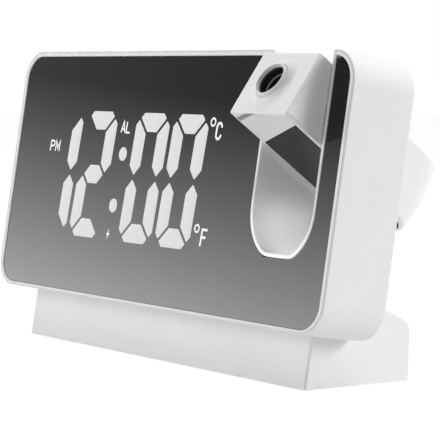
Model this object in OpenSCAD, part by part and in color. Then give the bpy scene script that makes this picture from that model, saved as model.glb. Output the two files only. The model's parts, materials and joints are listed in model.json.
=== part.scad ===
// Bedside projection clock: a thin leaning case with a mirrored LED front, a wedge stand,
// and a projector arm that swings through a slot in the case.
// World frame: X to the right, Y to the back, Z up, origin at the middle of the stand's flat underside.
// Case frame: x as the world, y back from the front lip, z up the leaning face from the case's underside.
// Arm frame: origin on the pivot axis, z along the lens axis, y from the mirror face to the back face.

/* [Case] */
// Width of the case
case_w = 186; // [184:1:200]
// Height of the case along its leaning face
case_h = 84.3; // [83.5:0.1:92]
// Depth of the case, front lip to back
case_d = 23.7; // [23.5:0.1:27]
// Corner radius of the case seen from the front
case_r = 10; // [9:0.5:12]
// Wall of the case
case_wall = 2; // [1.8:0.1:2.4]
// Angle that the case leans back from upright, in degrees
lean = 8.7; // [7:0.1:10]

/* [Mirror panel] */
// Thickness of the mirror panel
panel_t = 1.5; // [1.2:0.1:1.8]
// Depth of the panel's face behind the case lip
panel_recess = 0.3; // [0.2:0.1:0.5]
// Width of the lip at the case's two ends
lip_side = 2; // [2:0.1:3]
// Width of the lip along the top
lip_top = 1.8; // [1.6:0.1:2.4]
// Width of the lip along the bottom
lip_bottom = 1.3; // [1.2:0.1:2.4]
// Corner radius of the panel
panel_r = 8; // [7.5:0.5:10]
// Corner radius of the panel at the top of the narrow right column
panel_column_r = 11; // [8:0.5:13]
// Thickness of the adhesive gasket behind the panel
gasket_t = 0.3; // [0.2:0.1:0.5]
// Width of the adhesive gasket
gasket_w = 2.6; // [2:0.1:3]
// Thickness of the case's front wall, behind the panel
front_wall = 2; // [1.8:0.1:2.4]

/* [Display] */
// Height of a digit
digit_h = 43.3; // [38:0.1:45]
// Width of a digit
digit_w = 19.5; // [18:0.1:20.5]
// Width of a segment's stroke
stroke = 6.3; // [5:0.1:6.8]
// Gap between neighbouring segments
segment_gap = 0.75; // [0.4:0.05:1.2]
// Corner cut of the digits
digit_cut = 2.6; // [2:0.1:3.5]
// Slant of the digits, in degrees
digit_slant = 3.2; // [0:0.2:6]
// Distance from one digit to the next in a pair
digit_pitch = 21.6; // [21.2:0.1:23]
// Extra distance between the two pairs, for the colon
colon_room = 9.4; // [8:0.1:11]
// Radius of a colon dot
colon_r = 2.35; // [1.5:0.05:2.8]
// Height of the digits' feet above the case's underside
digits_z = 20.2; // [18:0.1:22]
// Left edge of the first digit, from the case's middle
digits_x = -71.7; // [-74:0.1:-71]

/* [Arm slot] */
// Width of the slot
slot_w = 28.7; // [28:0.1:30]
// Distance from the slot's centre to the case's right end
slot_inset = 25.35; // [25:0.05:27]
// Wall around the slot, its edge shows as a lip
slot_wall = 1.2; // [1:0.1:1.5]
// Clearance between the slot and the arm
arm_gap = 0.5; // [0.4:0.05:0.7]

/* [Projector arm] */
// Distance from the case's top down to the pivot axis
pivot_drop = 22.3; // [21:0.1:23]
// Distance from the pivot axis to the lens end
arm_reach = 23.6; // [22:0.1:24]
// Radius of the tail's end about the pivot axis
tail_r = 40.6; // [38:0.1:41]
// Width of the flat at the middle of the tail's end
tail_flat = 12; // [10:0.5:14]
// Thickness of the arm
arm_t = 22.2; // [21:0.1:22.6]
// Wall of the arm's housing
arm_wall = 1.1; // [1:0.1:1.5]
// Angle of the arm forward from its folded place, in degrees
arm_pose = 63.3; // [50:0.1:80]
// Thickness of the arm's front cover
arm_cover_t = 2.6; // [2.5:0.1:2.8]
// Thickness of the arm's mirror insert
arm_mirror_t = 0.8; // [0.6:0.1:1]
// Where the mirror insert's edge starts on the left side, from the pivot axis
insert_low = 7.5; // [5:0.1:9]
// Where the mirror insert's edge ends on the right side, from the pivot axis
insert_high = 18.4; // [14:0.1:19.5]

/* [Optics] */
// Radius of the focus ring's rim
ring_rim_r = 5.8; // [5.6:0.05:5.95]
// Radius of the raised flare around the focus ring, on the end face
flare_r = 7.3; // [6.8:0.1:8]
// Height of the focus ring above the end face
ring_h = 2.3; // [1.8:0.1:3]
// Radius of the opening in the focus ring
ring_bore_r = 4.9; // [4.8:0.05:5]
// Radius of the lenses
lens_r = 4; // [3.8:0.05:4.1]
// Travel of the lens cell each way
focus_travel = 1; // [0.5:0.1:1.2]

/* [Stand] */
// Width of the stand
stand_w = 158; // [150:1:162]
// Depth of the stand at the desk
stand_d = 40.9; // [38:0.1:46]
// Distance that the case's lower front edge stands ahead of the stand
case_ahead = 5.95; // [4:0.05:8]
// Height of the case's lower front edge above the desk
case_lift = 17.75; // [16:0.05:20]
// Height of the stand's back rest along the case
rest_h = 14; // [12:0.5:15]
// Height of the stand's back edge, before its shoulder is rounded
stand_back_h = 17.8; // [16:0.1:19]
// Distance that the stand's back face leans out at the top
back_flare = 0.6; // [0:0.1:1.5]
// Radius of the stand's shoulder
shoulder_r = 5; // [3:0.5:6]
// Wall of the stand
stand_wall = 2.2; // [2:0.1:2.6]

/* [Controls] */
// Radius of a rear button
button_r = 3; // [2.5:0.1:3.4]
// Distance from one rear button to the next
button_pitch = 14; // [12:0.5:15]
// Height that a rear button stands proud
button_proud = 1.2; // [0.8:0.1:1.5]
// Length of the snooze bar
snooze_w = 62; // [50:1:66]
// Depth of the snooze bar
snooze_d = 9; // [7:0.5:10]
// Travel of every button
button_travel = 0.6; // [0.4:0.1:0.8]
// Clearance around a button
button_gap = 0.3; // [0.2:0.05:0.4]

/* [Hidden] */
$fn = 64;
eps = 0.01;

// Case, derived
case_front_y = -stand_d / 2 - case_ahead;
fit = 0.15;
panel_back = panel_recess + panel_t;
gasket_back = panel_back + gasket_t;
wall_back = gasket_back + front_wall;
cover_t = 2;
cover_y = case_d - cover_t;
case_mid = case_w / 2;
slot_x = case_mid - slot_inset;
slot_half = slot_w / 2;
arm_half = slot_half - arm_gap;
pivot_z = case_h - pivot_drop;
pivot_y = case_d / 2;
slot_r = tail_r + arm_gap;
shoulder_ring = tail_r - sqrt(pow(arm_half, 2) - pow(tail_flat / 2, 2));
column_mid = slot_x + slot_half + slot_wall + (slot_inset - slot_half - slot_wall - case_wall) / 2;

// Screws: radius of shank and head, height of head, cross recess
screw_r = 1.1;
head_r = 2;
head_h = 1.3;
boss_r = 2.8;
screw_hole_r = 1.3;

// Display, derived
digit_xs = [digits_x, digits_x + digit_pitch, digits_x + 2 * digit_pitch + colon_room,
    digits_x + 3 * digit_pitch + colon_room];
lit = ["bc", "abged", "abcdef", "abcdef"];
fitted = ["bc", "abcdefg", "abcdefg", "abcdefg"];
seg_tip = (digit_cut - segment_gap) / 2;
colon_x = digits_x + 2 * digit_pitch + colon_room / 2 + 0.3;
colon_mid = 20.4;
colon_rise = 8.75;
colon_slant = 5.4;
window_x0 = digits_x + digit_w - stroke - 8;
window_x1 = digits_x + 4 * digit_pitch + colon_room + 4;
window_z0 = digits_z - 3;
window_z1 = digits_z + digit_h + 3;
reflector_back = panel_back + 6;
board_t = 1.6;
led_t = 0.8;
board_margin = 5;
display_boss_x = [window_x0 - 3, window_x1 + 3];
display_boss_z = [window_z0 + 6, window_z1 - 14];
header_x = 2;
header_z = 38;
header_w = 22;
header_h = 5;

// Boards at the back, derived
main_board_y = cover_y - 7.1;
main_board_x1 = 34;
main_board_z0 = 34;
main_board_z1 = case_h - 11.3;
buttons_z = main_board_z1 - 7;
buttons_x = -40;
button_xs = [for (i = [0:4]) buttons_x + i * button_pitch];
switch_h = 3.4;
switch_w = 6;
press_gap = 0.1;
flange_gap = 0.05;
port_board_y = 11.2;
port_x0 = 12 - case_mid;
port_x1 = port_x0 + 43;
port_z0 = 15.5;
port_z1 = 30.5;
port_z = 23.5;
power_x = port_x0 + 6;
power_w = 8.9;
power_h = 3.2;
usb_x = port_x0 + 26;
usb_w = 13.1;
usb_h = 5.9;
cable_x = port_x1 - 6;
main_board_x0 = cable_x - 8;
cable_w = 5;
cable_t = 0.6;
buzzer_x = -10;
buzzer_z = 44;
buzzer_r = 6;
buzzer_h = 4.4;
grille_pitch = 2.6;
grille_r = 0.9;
cell_x = 31 - case_mid;
cell_z = 52;
cell_r = 10;
cell_t = 3.2;
well_r = 10.8;
well_wall = 1.4;
door_r = 12;
door_recess = 1.3;
contact_t = 0.5;
well_y = case_d - door_recess - cell_t - contact_t - 0.4;
side_screw_x = case_mid - 8;
mid_screw_x = (window_x1 + board_margin + slot_x - slot_half - slot_wall) / 2;
case_screw_xz = [[-side_screw_x, 36], [-side_screw_x, case_h - 12.3], [mid_screw_x, 20],
    [mid_screw_x, case_h - 8.3], [column_mid, 34], [column_mid, case_h - 8.8]];
board_screw_xz = [for (x = [main_board_x0 + 4, main_board_x1 - 4],
    z = [main_board_z0 + 4, main_board_z1 - 4]) [x, z]];
port_screw_xz = [for (z = [port_z0 + 3, port_z1 - 2.5]) [(power_x + usb_x) / 2, z]];
post_r = 2.4;
post_hole = 4;
snooze_x = -10;
snooze_y = case_d / 2 + 0.65;
snooze_post_x = 9;
snooze_post_r = 1.8;
snooze_post_l = 7;
snooze_board_w = 24;
snooze_board_t = 1.2;
snooze_board_gap = 0.3;
snooze_board_clear = 0.2;
snooze_flange = 1.4;
snooze_flange_t = 1;
snooze_switch_h = 3;
plunger_r = 2;
under_top = case_h - case_wall;

// Pivot, derived
bush_r = 4;
bush_bore_r = 1;
pin_r = 3;
run_fit = 0.05;
pivot_boss_r = 6.5;
left_boss_l = 6;
right_boss_l = 3;
left_end = -slot_half - slot_wall - left_boss_l;
right_end = slot_half + slot_wall + right_boss_l;
hub_l = 4;
hub_r = 6;
washer_r = 6.2;
lead_r = 0.75;
lead_x = -8.1;
tension_t = 0.8;
clip_t = 0.7;

// Optics, derived
neck_r = 6;
ring_flange_r = 7.6;
ring_flange_t = 1.2;
end_wall = 1.6;
flare_h = 0.9;
ring_flange_z = arm_reach - end_wall - run_fit - ring_flange_t;
cell_out_r = ring_bore_r - 0.08;
cell_front = arm_reach - 0.6 - focus_travel;
cell_l = 9;
key_z = cell_front - cell_l + 1;
lens_t = 2.2;
lens_edge = 0.9;
seat_drop = 0.25;
barrel_r = 7.2;
barrel_front = ring_flange_z - 0.4;
barrel_back = -13;
cone_bore_r = 3.5;
cell_room_z = cell_front - cell_l - focus_travel - 0.5;
slide_t = 1.1;
slide_front = -3.4;
condenser_z = -9.4;
led_board_t = 1.2;
led_board_w = 18;
led_board_h = 16;
saddle_t = 1.5;
saddle_z = [14.5, -11];
saddle_clear = 1.2;
arm_screw_s = [[0, -31], [-9.6, -18], [9.6, 10.8]];

// Stand, derived
lean_t = tan(lean);
stand_floor = 0.2;
stand_cover_t = 2.6;
pad_t = 0.8;
stand_screw_x = [-60, -20, 20, 60];
stand_screw_y = case_d - 8.7;
stand_boss_h = 8;
cover_screw_x = [-70, -24, 24, 70];
cover_screw_y = 6;
plan_r = 2.5;

// A point of the case frame in the world's Y and Z
function case_point(y, z) = [case_front_y + y * cos(lean) + z * sin(lean),
    case_lift - y * sin(lean) + z * cos(lean)];

module in_case() {
    translate([0, case_front_y, case_lift]) rotate([-lean, 0, 0]) children();
}

module at_pivot() {
    in_case() translate([slot_x, pivot_y, pivot_z]) children();
}

module in_arm() {
    at_pivot() rotate([arm_pose, 0, 0]) children();
}

// Stands its child's Z axis along the case's depth, pointing to the back
module facing_back(x, y, z) {
    translate([x, y, z]) rotate([-90, 0, 0]) children();
}

// Lays a cylinder along X, from x0 to x1
module rod_x(x0, x1, r) {
    translate([x0, 0, 0]) rotate([0, 90, 0]) cylinder(h = x1 - x0, r = r);
}

module rounded_rect(x0, x1, z0, z1, r) {
    translate([x0 + r, z0]) square([x1 - x0 - 2 * r, z1 - z0]);
    translate([x0, z0 + r]) square([x1 - x0, z1 - z0 - 2 * r]);
    for (x = [x0 + r, x1 - r], z = [z0 + r, z1 - r]) {
        translate([x, z]) circle(r);
    }
}

// A plate of the case frame: a flat outline in x and z, from depth y0 to y1
module plate(y0, y1) {
    translate([0, y1, 0]) rotate([90, 0, 0]) linear_extrude(y1 - y0) children();
}

module case_outline(inset) {
    rounded_rect(-case_mid + inset, case_mid - inset, inset, case_h - inset, case_r - inset);
}

module panel_outline(gap) {
    rounded_rect(-case_mid + lip_side + gap, case_mid - lip_side - gap, lip_bottom + gap,
        case_h - lip_top - gap, panel_r - gap);
}

// Solid of revolution about the pivot axis that the tail sweeps
module swing_disc(r, half_w) {
    rotate([0, 90, 0]) rotate_extrude() intersection() {
        translate([0, -half_w]) square([r, 2 * half_w]);
        union() {
            translate([0, -half_w]) square([shoulder_ring, 2 * half_w]);
            translate([shoulder_ring, 0]) circle(half_w);
        }
    }
}

// The slot's space about the pivot, grown outwards, open upwards
module slot_in_case(grow) {
    translate([slot_x, pivot_y, pivot_z]) {
        swing_disc(slot_r + grow, slot_half + grow);
        translate([-slot_half - grow, -case_d, 0])
            cube([2 * (slot_half + grow), 2 * case_d, case_h]);
    }
}

// A screw with its shank upwards from the underside of its head at the origin
module screw(length) {
    cylinder(h = length, r = screw_r);
    translate([0, 0, -head_h]) difference() {
        cylinder(h = head_h, r = head_r);
        translate([-1.2, -0.25, -eps]) cube([2.4, 0.5, 0.8]);
        translate([-0.25, -1.2, -eps]) cube([0.5, 2.4, 0.8]);
    }
}

// --- Display ---------------------------------------------------------------------------------

function flip_x(points) = [for (p = points) [digit_w - p[0], p[1]]];
function flip_z(points) = [for (p = points) [p[0], digit_h - p[1]]];
function slanted(points) = [for (p = points) [p[0] + p[1] * tan(digit_slant), p[1]]];

// Corners of the top, middle and upper left segment of an upright digit, from its left foot
top_segment = [[digit_cut, digit_h], [digit_w - digit_cut, digit_h],
    [digit_w - digit_cut + seg_tip, digit_h - seg_tip],
    [digit_w - stroke - segment_gap, digit_h - stroke], [stroke + segment_gap, digit_h - stroke],
    [digit_cut - seg_tip, digit_h - seg_tip]];
middle_segment = [[stroke / 2 + segment_gap, digit_h / 2],
    [stroke + segment_gap, (digit_h + stroke) / 2],
    [digit_w - stroke - segment_gap, (digit_h + stroke) / 2],
    [digit_w - stroke / 2 - segment_gap, digit_h / 2],
    [digit_w - stroke - segment_gap, (digit_h - stroke) / 2],
    [stroke + segment_gap, (digit_h - stroke) / 2]];
side_segment = [[0, digit_h - digit_cut], [seg_tip, digit_h - digit_cut + seg_tip],
    [stroke, digit_h - stroke - segment_gap], [stroke, (digit_h + stroke) / 2 + segment_gap],
    [stroke / 2, digit_h / 2 + segment_gap], [0, (digit_h + stroke) / 2 + segment_gap]];

function segment(name) = name == "a" ? top_segment
    : name == "b" ? flip_x(side_segment)
    : name == "c" ? flip_x(flip_z(side_segment))
    : name == "d" ? flip_z(top_segment)
    : name == "e" ? flip_z(side_segment)
    : name == "f" ? side_segment : middle_segment;

// Middle of a segment of an upright digit
function middle(name) = name == "a" ? [digit_w / 2, digit_h - stroke / 2]
    : name == "b" ? [digit_w - stroke / 2, digit_h * 0.73]
    : name == "c" ? [digit_w - stroke / 2, digit_h * 0.27]
    : name == "d" ? [digit_w / 2, stroke / 2]
    : name == "e" ? [stroke / 2, digit_h * 0.27]
    : name == "f" ? [stroke / 2, digit_h * 0.73] : [digit_w / 2, digit_h / 2];

function colon_place(s) = [colon_x + s * colon_rise * tan(colon_slant),
    digits_z + colon_mid + s * colon_rise];

// The clock's face: the segments named for each digit, and the colon
module clock_face(names) {
    for (i = [0:3]) {
        for (k = [0:len(names[i]) - 1]) {
            translate([digit_xs[i], digits_z]) polygon(slanted(segment(names[i][k])));
        }
    }
    for (s = [-1, 1]) {
        translate(colon_place(s)) circle(colon_r);
    }
}

module window_outline(gap) {
    translate([window_x0 + gap, window_z0 + gap])
        square([window_x1 - window_x0 - 2 * gap, window_z1 - window_z0 - 2 * gap]);
}

module display_segments() {
    color("white") in_case() {
        plate(panel_recess, panel_back + eps) clock_face(lit);
        plate(panel_back, reflector_back - led_t) clock_face(fitted);
    }
}

module display_reflector() {
    color("gainsboro") in_case() difference() {
        plate(panel_back, reflector_back) window_outline(fit);
        plate(panel_back - 1, reflector_back + 1) clock_face(fitted);
    }
}

module display_board() {
    color("darkgreen") in_case() difference() {
        plate(reflector_back, reflector_back + board_t) window_outline(-board_margin);
        for (x = display_boss_x, z = display_boss_z) {
            facing_back(x, reflector_back - 1, z) cylinder(h = board_t + 2, r = screw_hole_r);
        }
    }
}

module led_chip(x, z) {
    translate([x - 1.3, reflector_back - led_t, z - 0.7]) cube([2.6, led_t, 1.4]);
}

module segment_leds() {
    color("khaki") in_case() {
        for (i = [0:3]) {
            for (k = [0:len(fitted[i]) - 1]) {
                m = middle(fitted[i][k]);
                led_chip(digit_xs[i] + m[0] + m[1] * tan(digit_slant), digits_z + m[1]);
            }
        }
        for (s = [-1, 1]) {
            led_chip(colon_place(s)[0], colon_place(s)[1]);
        }
    }
}

module display_screws() {
    color("silver") in_case() for (x = display_boss_x, z = display_boss_z) {
        facing_back(x, reflector_back + board_t, z) mirror([0, 0, 1]) screw(4.6);
    }
}

// Pin header between the display board and the main board
module board_header() {
    color("black") in_case() translate([header_x, reflector_back + board_t, header_z])
        cube([header_w, main_board_y - reflector_back - board_t, header_h]);
}

// --- Case ------------------------------------------------------------------------------------

module mirror_panel() {
    column_top = case_h - lip_top - fit;
    column_end = case_mid - lip_side - fit;
    color([0.23, 0.23, 0.25]) in_case() difference() {
        plate(panel_recess, panel_back) difference() {
            panel_outline(fit);
            translate([column_end - panel_column_r, column_top - panel_column_r]) difference() {
                square(panel_column_r + 1);
                circle(panel_column_r);
            }
            clock_face(lit);
        }
        slot_in_case(slot_wall + fit);
    }
}

module panel_gasket() {
    color([0.05, 0.05, 0.05]) in_case() difference() {
        union() {
            plate(panel_back, gasket_back) difference() {
                panel_outline(fit);
                panel_outline(fit + gasket_w);
            }
            intersection() {
                plate(panel_back, gasket_back) panel_outline(fit);
                slot_in_case(slot_wall + fit + gasket_w);
            }
        }
        slot_in_case(slot_wall + fit);
    }
}

module front_case() {
    color("white") in_case() difference() {
        union() {
            difference() {
                plate(0, case_d) case_outline(0);
                plate(-1, gasket_back) panel_outline(0);
                plate(wall_back, case_d + 1) case_outline(case_wall);
            }
            intersection() {
                slot_in_case(slot_wall);
                plate(0, case_d) case_outline(0);
            }
            translate([slot_x, pivot_y, pivot_z]) {
                rod_x(left_end, -slot_half, pivot_boss_r);
                rod_x(slot_half, right_end, pivot_boss_r);
            }
            for (p = case_screw_xz) {
                facing_back(p[0], wall_back - 1, p[1])
                    cylinder(h = cover_y - wall_back + 1, r = boss_r);
            }
            for (x = display_boss_x, z = display_boss_z) {
                facing_back(x, wall_back - 1, z)
                    cylinder(h = reflector_back - wall_back + 1, r = boss_r);
            }
            for (s = [-1, 1]) {
                translate([snooze_x + s * snooze_post_x, cover_y - snooze_post_r - 0.3,
                    under_top - snooze_post_l])
                    cylinder(h = snooze_post_l + 1, r = snooze_post_r);
            }
            for (x = stand_screw_x) {
                translate([x, stand_screw_y, case_wall / 2])
                    cylinder(h = stand_boss_h - case_wall / 2, r = boss_r);
            }
        }
        slot_in_case(0);
        translate([slot_x, pivot_y, pivot_z]) {
            rod_x(left_end - 1, 0, bush_r + run_fit);
            rod_x(0, right_end + 1, pin_r + run_fit);
        }
        plate(gasket_back - 1, wall_back + 1) window_outline(0);
        for (p = case_screw_xz) {
            facing_back(p[0], cover_y - 6.5, p[1]) cylinder(h = 8, r = screw_r);
        }
        for (x = display_boss_x, z = display_boss_z) {
            facing_back(x, reflector_back - 3.4, z) cylinder(h = 5, r = screw_r);
        }
        for (x = stand_screw_x) {
            translate([x, stand_screw_y, -1]) cylinder(h = stand_boss_h - 1, r = screw_r);
        }
        translate([snooze_x - snooze_w / 2 - button_gap, snooze_y - snooze_d / 2 - button_gap,
            under_top - 1])
            cube([snooze_w + 2 * button_gap, snooze_d + 2 * button_gap, case_wall + 2]);
    }
}

// A hole through the rear cover for a socket, with round corners
module socket_hole(x, w, h, r) {
    plate(cover_y - 1, case_d + 1)
        rounded_rect(x - w / 2, x + w / 2, port_z - h / 2, port_z + h / 2, r);
}

module rear_cover() {
    color("white") in_case() difference() {
        union() {
            difference() {
                plate(cover_y, case_d) case_outline(case_wall + fit);
                slot_in_case(slot_wall + fit);
            }
            for (p = board_screw_xz) {
                facing_back(p[0], main_board_y + board_t, p[1])
                    cylinder(h = cover_y - main_board_y - board_t + 1, r = post_r);
            }
            for (p = port_screw_xz) {
                facing_back(p[0], port_board_y + board_t, p[1])
                    cylinder(h = cover_y - port_board_y - board_t + 1, r = post_r);
            }
            facing_back(cell_x, well_y - well_wall, cell_z)
                cylinder(h = cover_y - well_y + well_wall + 1, r = well_r + well_wall);
        }
        for (p = case_screw_xz) {
            facing_back(p[0], cover_y - 1, p[1]) cylinder(h = cover_t + 2, r = screw_hole_r);
            facing_back(p[0], case_d - head_h - 0.1, p[1]) cylinder(h = 3, r = head_r + 0.1);
        }
        for (p = board_screw_xz) {
            facing_back(p[0], main_board_y + board_t - 1, p[1])
                cylinder(h = post_hole + 1, r = screw_r);
        }
        for (p = port_screw_xz) {
            facing_back(p[0], port_board_y + board_t - 1, p[1])
                cylinder(h = post_hole + 1, r = screw_r);
        }
        for (x = button_xs) {
            facing_back(x, cover_y - 1, buttons_z)
                cylinder(h = cover_t + 2, r = button_r + button_gap);
        }
        socket_hole(power_x, power_w + 0.6, power_h + 0.6, power_h / 2 + 0.2);
        socket_hole(usb_x, usb_w + 1.3, usb_h + 1.3, 0.8);
        for (i = [-2:2], k = [-2:2]) {
            facing_back(buzzer_x + grille_pitch * i, cover_y - 1, buzzer_z + grille_pitch * k)
                cylinder(h = cover_t + 2, r = grille_r);
        }
        facing_back(cell_x, well_y, cell_z) cylinder(h = 10, r = well_r);
        facing_back(cell_x, case_d - door_recess, cell_z) cylinder(h = 5, r = door_r + fit);
    }
}

module case_screws() {
    color("silver") in_case() for (p = case_screw_xz) {
        facing_back(p[0], case_d - head_h - 0.1, p[1]) mirror([0, 0, 1]) screw(6.8);
    }
}

// --- Electronics -----------------------------------------------------------------------------

module board_holes(y, places) {
    for (p = places) {
        facing_back(p[0], y - 1, p[1]) cylinder(h = board_t + 2, r = screw_hole_r);
    }
}

module main_board() {
    color("darkgreen") in_case() difference() {
        translate([main_board_x0, main_board_y, main_board_z0])
            cube([main_board_x1 - main_board_x0, board_t, main_board_z1 - main_board_z0]);
        board_holes(main_board_y, board_screw_xz);
    }
}

module main_board_screws() {
    color("silver") in_case() {
        for (p = board_screw_xz) {
            facing_back(p[0], main_board_y, p[1]) screw(4.8);
        }
        for (p = port_screw_xz) {
            facing_back(p[0], port_board_y, p[1]) screw(4.8);
        }
    }
}

module tact_switches() {
    color("dimgray") in_case() for (x = button_xs) {
        translate([x - switch_w / 2, main_board_y + board_t, buttons_z - switch_w / 2])
            cube([switch_w, switch_h, switch_w]);
    }
}

module rear_button(index) {
    foot = main_board_y + board_t + switch_h + button_travel + press_gap;
    color("whitesmoke") in_case() facing_back(button_xs[index], foot, buttons_z) {
        cylinder(h = case_d + button_proud - foot, r = button_r);
        cylinder(h = cover_y - flange_gap - foot, r = button_r + 1);
    }
}

module mode_button() {
    rear_button(0);
}

module set_button() {
    rear_button(1);
}

module plus_button() {
    rear_button(2);
}

module minus_button() {
    rear_button(3);
}

module lamp_button() {
    rear_button(4);
}

module buzzer() {
    color("black") in_case() facing_back(buzzer_x, main_board_y + board_t, buzzer_z) difference() {
        cylinder(h = buzzer_h, r = buzzer_r);
        translate([0, 0, buzzer_h - 1]) cylinder(h = 2, r = buzzer_r / 5);
    }
}

module port_board() {
    color("darkgreen") in_case() difference() {
        translate([port_x0, port_board_y, port_z0])
            cube([port_x1 - port_x0, board_t, port_z1 - port_z0]);
        board_holes(port_board_y, port_screw_xz);
    }
}

// Flat cable from the port board's back face up to the main board's front face
module port_cable() {
    y0 = port_board_y + board_t;
    y1 = main_board_y;
    z0 = port_z1 - 5.5;
    z1 = main_board_z0 + 4;
    profile = [[y0, z0], [y0 + cable_t, z0], [y0 + cable_t, port_z1 + 0.2],
        [y1, main_board_z0 + 0.4], [y1, z1], [y1 - cable_t, z1],
        [y1 - cable_t, main_board_z0 + 0.7], [y0, port_z1 + 0.5]];
    color("lightgray") in_case() translate([cable_x, 0, 0]) rotate([90, 0, 90])
        linear_extrude(cable_w) polygon(profile);
}

// A receptacle standing on the port board: a rounded metal shell with a tongue in it
module socket(x, w, h, r, shell, tongue_w, tongue_h, tongue_up) {
    front = port_board_y + board_t;
    back = case_d - 0.6;
    plate(front, back) difference() {
        rounded_rect(x - w / 2, x + w / 2, port_z - h / 2, port_z + h / 2, r);
        rounded_rect(x - w / 2 + shell, x + w / 2 - shell, port_z - h / 2 + shell,
            port_z + h / 2 - shell, max(r - shell, 0.1));
    }
    plate(front, front + 2) translate([x - w / 2 + r, port_z - h / 2 + shell / 2])
        square([w - 2 * r, h - shell]);
    plate(front + 1, back - 1) translate([x - tongue_w / 2, port_z + tongue_up - tongue_h / 2])
        square([tongue_w, tongue_h]);
}

module usb_outlet() {
    color("silver") in_case() socket(usb_x, usb_w, usb_h, 0.5, 0.4, 11.2, 1.8, 1.2);
}

module power_inlet() {
    color("silver") in_case() socket(power_x, power_w, power_h, 1.5, 0.3, 6.6, 0.7, 0);
}

module coin_cell() {
    color("silver") in_case() facing_back(cell_x, well_y + contact_t, cell_z) {
        cylinder(h = cell_t - 0.6, r = cell_r);
        cylinder(h = cell_t, r = cell_r - 1);
    }
}

module cell_contacts() {
    color("goldenrod") in_case() facing_back(cell_x, well_y, cell_z) difference() {
        cylinder(h = contact_t, r = 6);
        translate([0, 0, -1]) cylinder(h = 3, r = 3);
    }
}

module cell_door() {
    color("whitesmoke") in_case() facing_back(cell_x, case_d - door_recess + run_fit, cell_z)
        difference() {
            cylinder(h = door_recess - 0.1, r = door_r);
            translate([-6, -0.8, 0.6]) cube([12, 1.6, 2]);
        }
}

module snooze_bar() {
    switch_top = under_top - snooze_post_l + snooze_switch_h;
    foot = switch_top + button_travel + press_gap;
    color("white") in_case() {
        translate([snooze_x - snooze_w / 2, snooze_y - snooze_d / 2, under_top - snooze_flange_t])
            cube([snooze_w, snooze_d, case_wall + snooze_flange_t]);
        translate([snooze_x - snooze_w / 2 - snooze_flange, snooze_y - snooze_d / 2,
            under_top - flange_gap - snooze_flange_t])
            cube([snooze_w + 2 * snooze_flange, snooze_d, snooze_flange_t]);
        translate([snooze_x, snooze_y, foot])
            cylinder(h = under_top - snooze_flange_t / 2 - foot, r = plunger_r);
    }
}

module snooze_switch() {
    board_top = under_top - snooze_post_l;
    board_front = reflector_back + board_t + snooze_board_gap;
    color("dimgray") in_case() {
        translate([snooze_x - snooze_board_w / 2, board_front, board_top - snooze_board_t])
            cube([snooze_board_w, cover_y - snooze_board_clear - board_front, snooze_board_t]);
        translate([snooze_x - switch_w / 2, snooze_y - switch_w / 2, board_top - 0.1])
            cube([switch_w, switch_w, snooze_switch_h + 0.1]);
    }
}

// --- Leads -----------------------------------------------------------------------------------

// From the main board to the pivot axis and along it
module case_lead() {
    foot_x = main_board_x1 - 10 - slot_x;
    color("black") at_pivot() {
        rod_x(foot_x, left_end + 5, lead_r);
        translate([foot_x, 0, 0]) sphere(lead_r);
        facing_back(foot_x, 0, 0) cylinder(h = main_board_y - pivot_y, r = lead_r);
    }
}

// From the pivot axis past the optics barrel to the lamp board
module arm_lead() {
    color("black") in_arm() {
        rod_x(left_end + 5.1, lead_x, lead_r);
        translate([lead_x, 0, 0]) sphere(lead_r);
        translate([lead_x, 0, barrel_back]) cylinder(h = -barrel_back, r = lead_r);
    }
}

// --- Projector arm ---------------------------------------------------------------------------

// A layer of the arm's form: taken in all round, from depth y0 to y1 behind the mirror face
module arm_layer(inset, y0, y1) {
    intersection() {
        swing_disc(tail_r - inset, arm_half - inset);
        translate([-arm_half, -arm_t / 2 + y0, -tail_r])
            cube([2 * arm_half, y1 - y0, tail_r + arm_reach - inset]);
    }
}

// A rib across the arm with a round seat for the optics barrel, on one side of the axis
module saddle(z, side, y_end) {
    difference() {
        translate([-arm_half + arm_wall / 2, side > 0 ? saddle_clear : -y_end, z])
            cube([2 * arm_half - arm_wall, y_end - saddle_clear, saddle_t]);
        translate([0, 0, z - 1]) cylinder(h = saddle_t + 2, r = barrel_r);
    }
}

module arm_housing() {
    color("white") in_arm() difference() {
        union() {
            difference() {
                arm_layer(0, 0, arm_t);
                difference() {
                    arm_layer(arm_wall, -1, arm_t - arm_wall);
                    translate([-arm_half, -arm_t / 2 + arm_cover_t, arm_reach - end_wall])
                        cube([2 * arm_half, arm_t, end_wall]);
                }
            }
            rod_x(-arm_half + arm_wall / 2, -arm_half + hub_l, hub_r);
            rod_x(arm_half - hub_l, arm_half - arm_wall / 2, hub_r);
            for (z = saddle_z) {
                saddle(z, 1, arm_t / 2 - arm_wall / 2);
            }
            for (p = arm_screw_s) {
                facing_back(p[0], -arm_t / 2 + arm_cover_t, p[1])
                    cylinder(h = arm_t - arm_cover_t - arm_wall / 2, r = 2);
            }
            translate([0, 0, arm_reach - 1]) cylinder(h = 1 + flare_h, r1 = flare_r + 0.6,
                r2 = neck_r + 0.45);
        }
        rod_x(-arm_half - 1, 0, bush_r);
        rod_x(0, arm_half + 1, pin_r);
        translate([0, 0, arm_reach - end_wall - 1])
            cylinder(h = end_wall + 3, r = neck_r + run_fit);
        for (p = arm_screw_s) {
            facing_back(p[0], -arm_t / 2 + arm_cover_t - 1, p[1]) cylinder(h = 8, r = screw_r);
        }
    }
}

// The mirror insert's place on the front cover: below a slanting edge
module insert_space(depth, gap) {
    rise = insert_high - insert_low;
    translate([0, -arm_t / 2 + depth, 0]) rotate([90, 0, 0]) linear_extrude(depth + 1)
        polygon([[-2 * arm_half, -tail_r - 1], [2 * arm_half, -tail_r - 1],
            [2 * arm_half, insert_high + rise / 2 + gap],
            [-2 * arm_half, insert_low - rise / 2 + gap]]);
}

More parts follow.
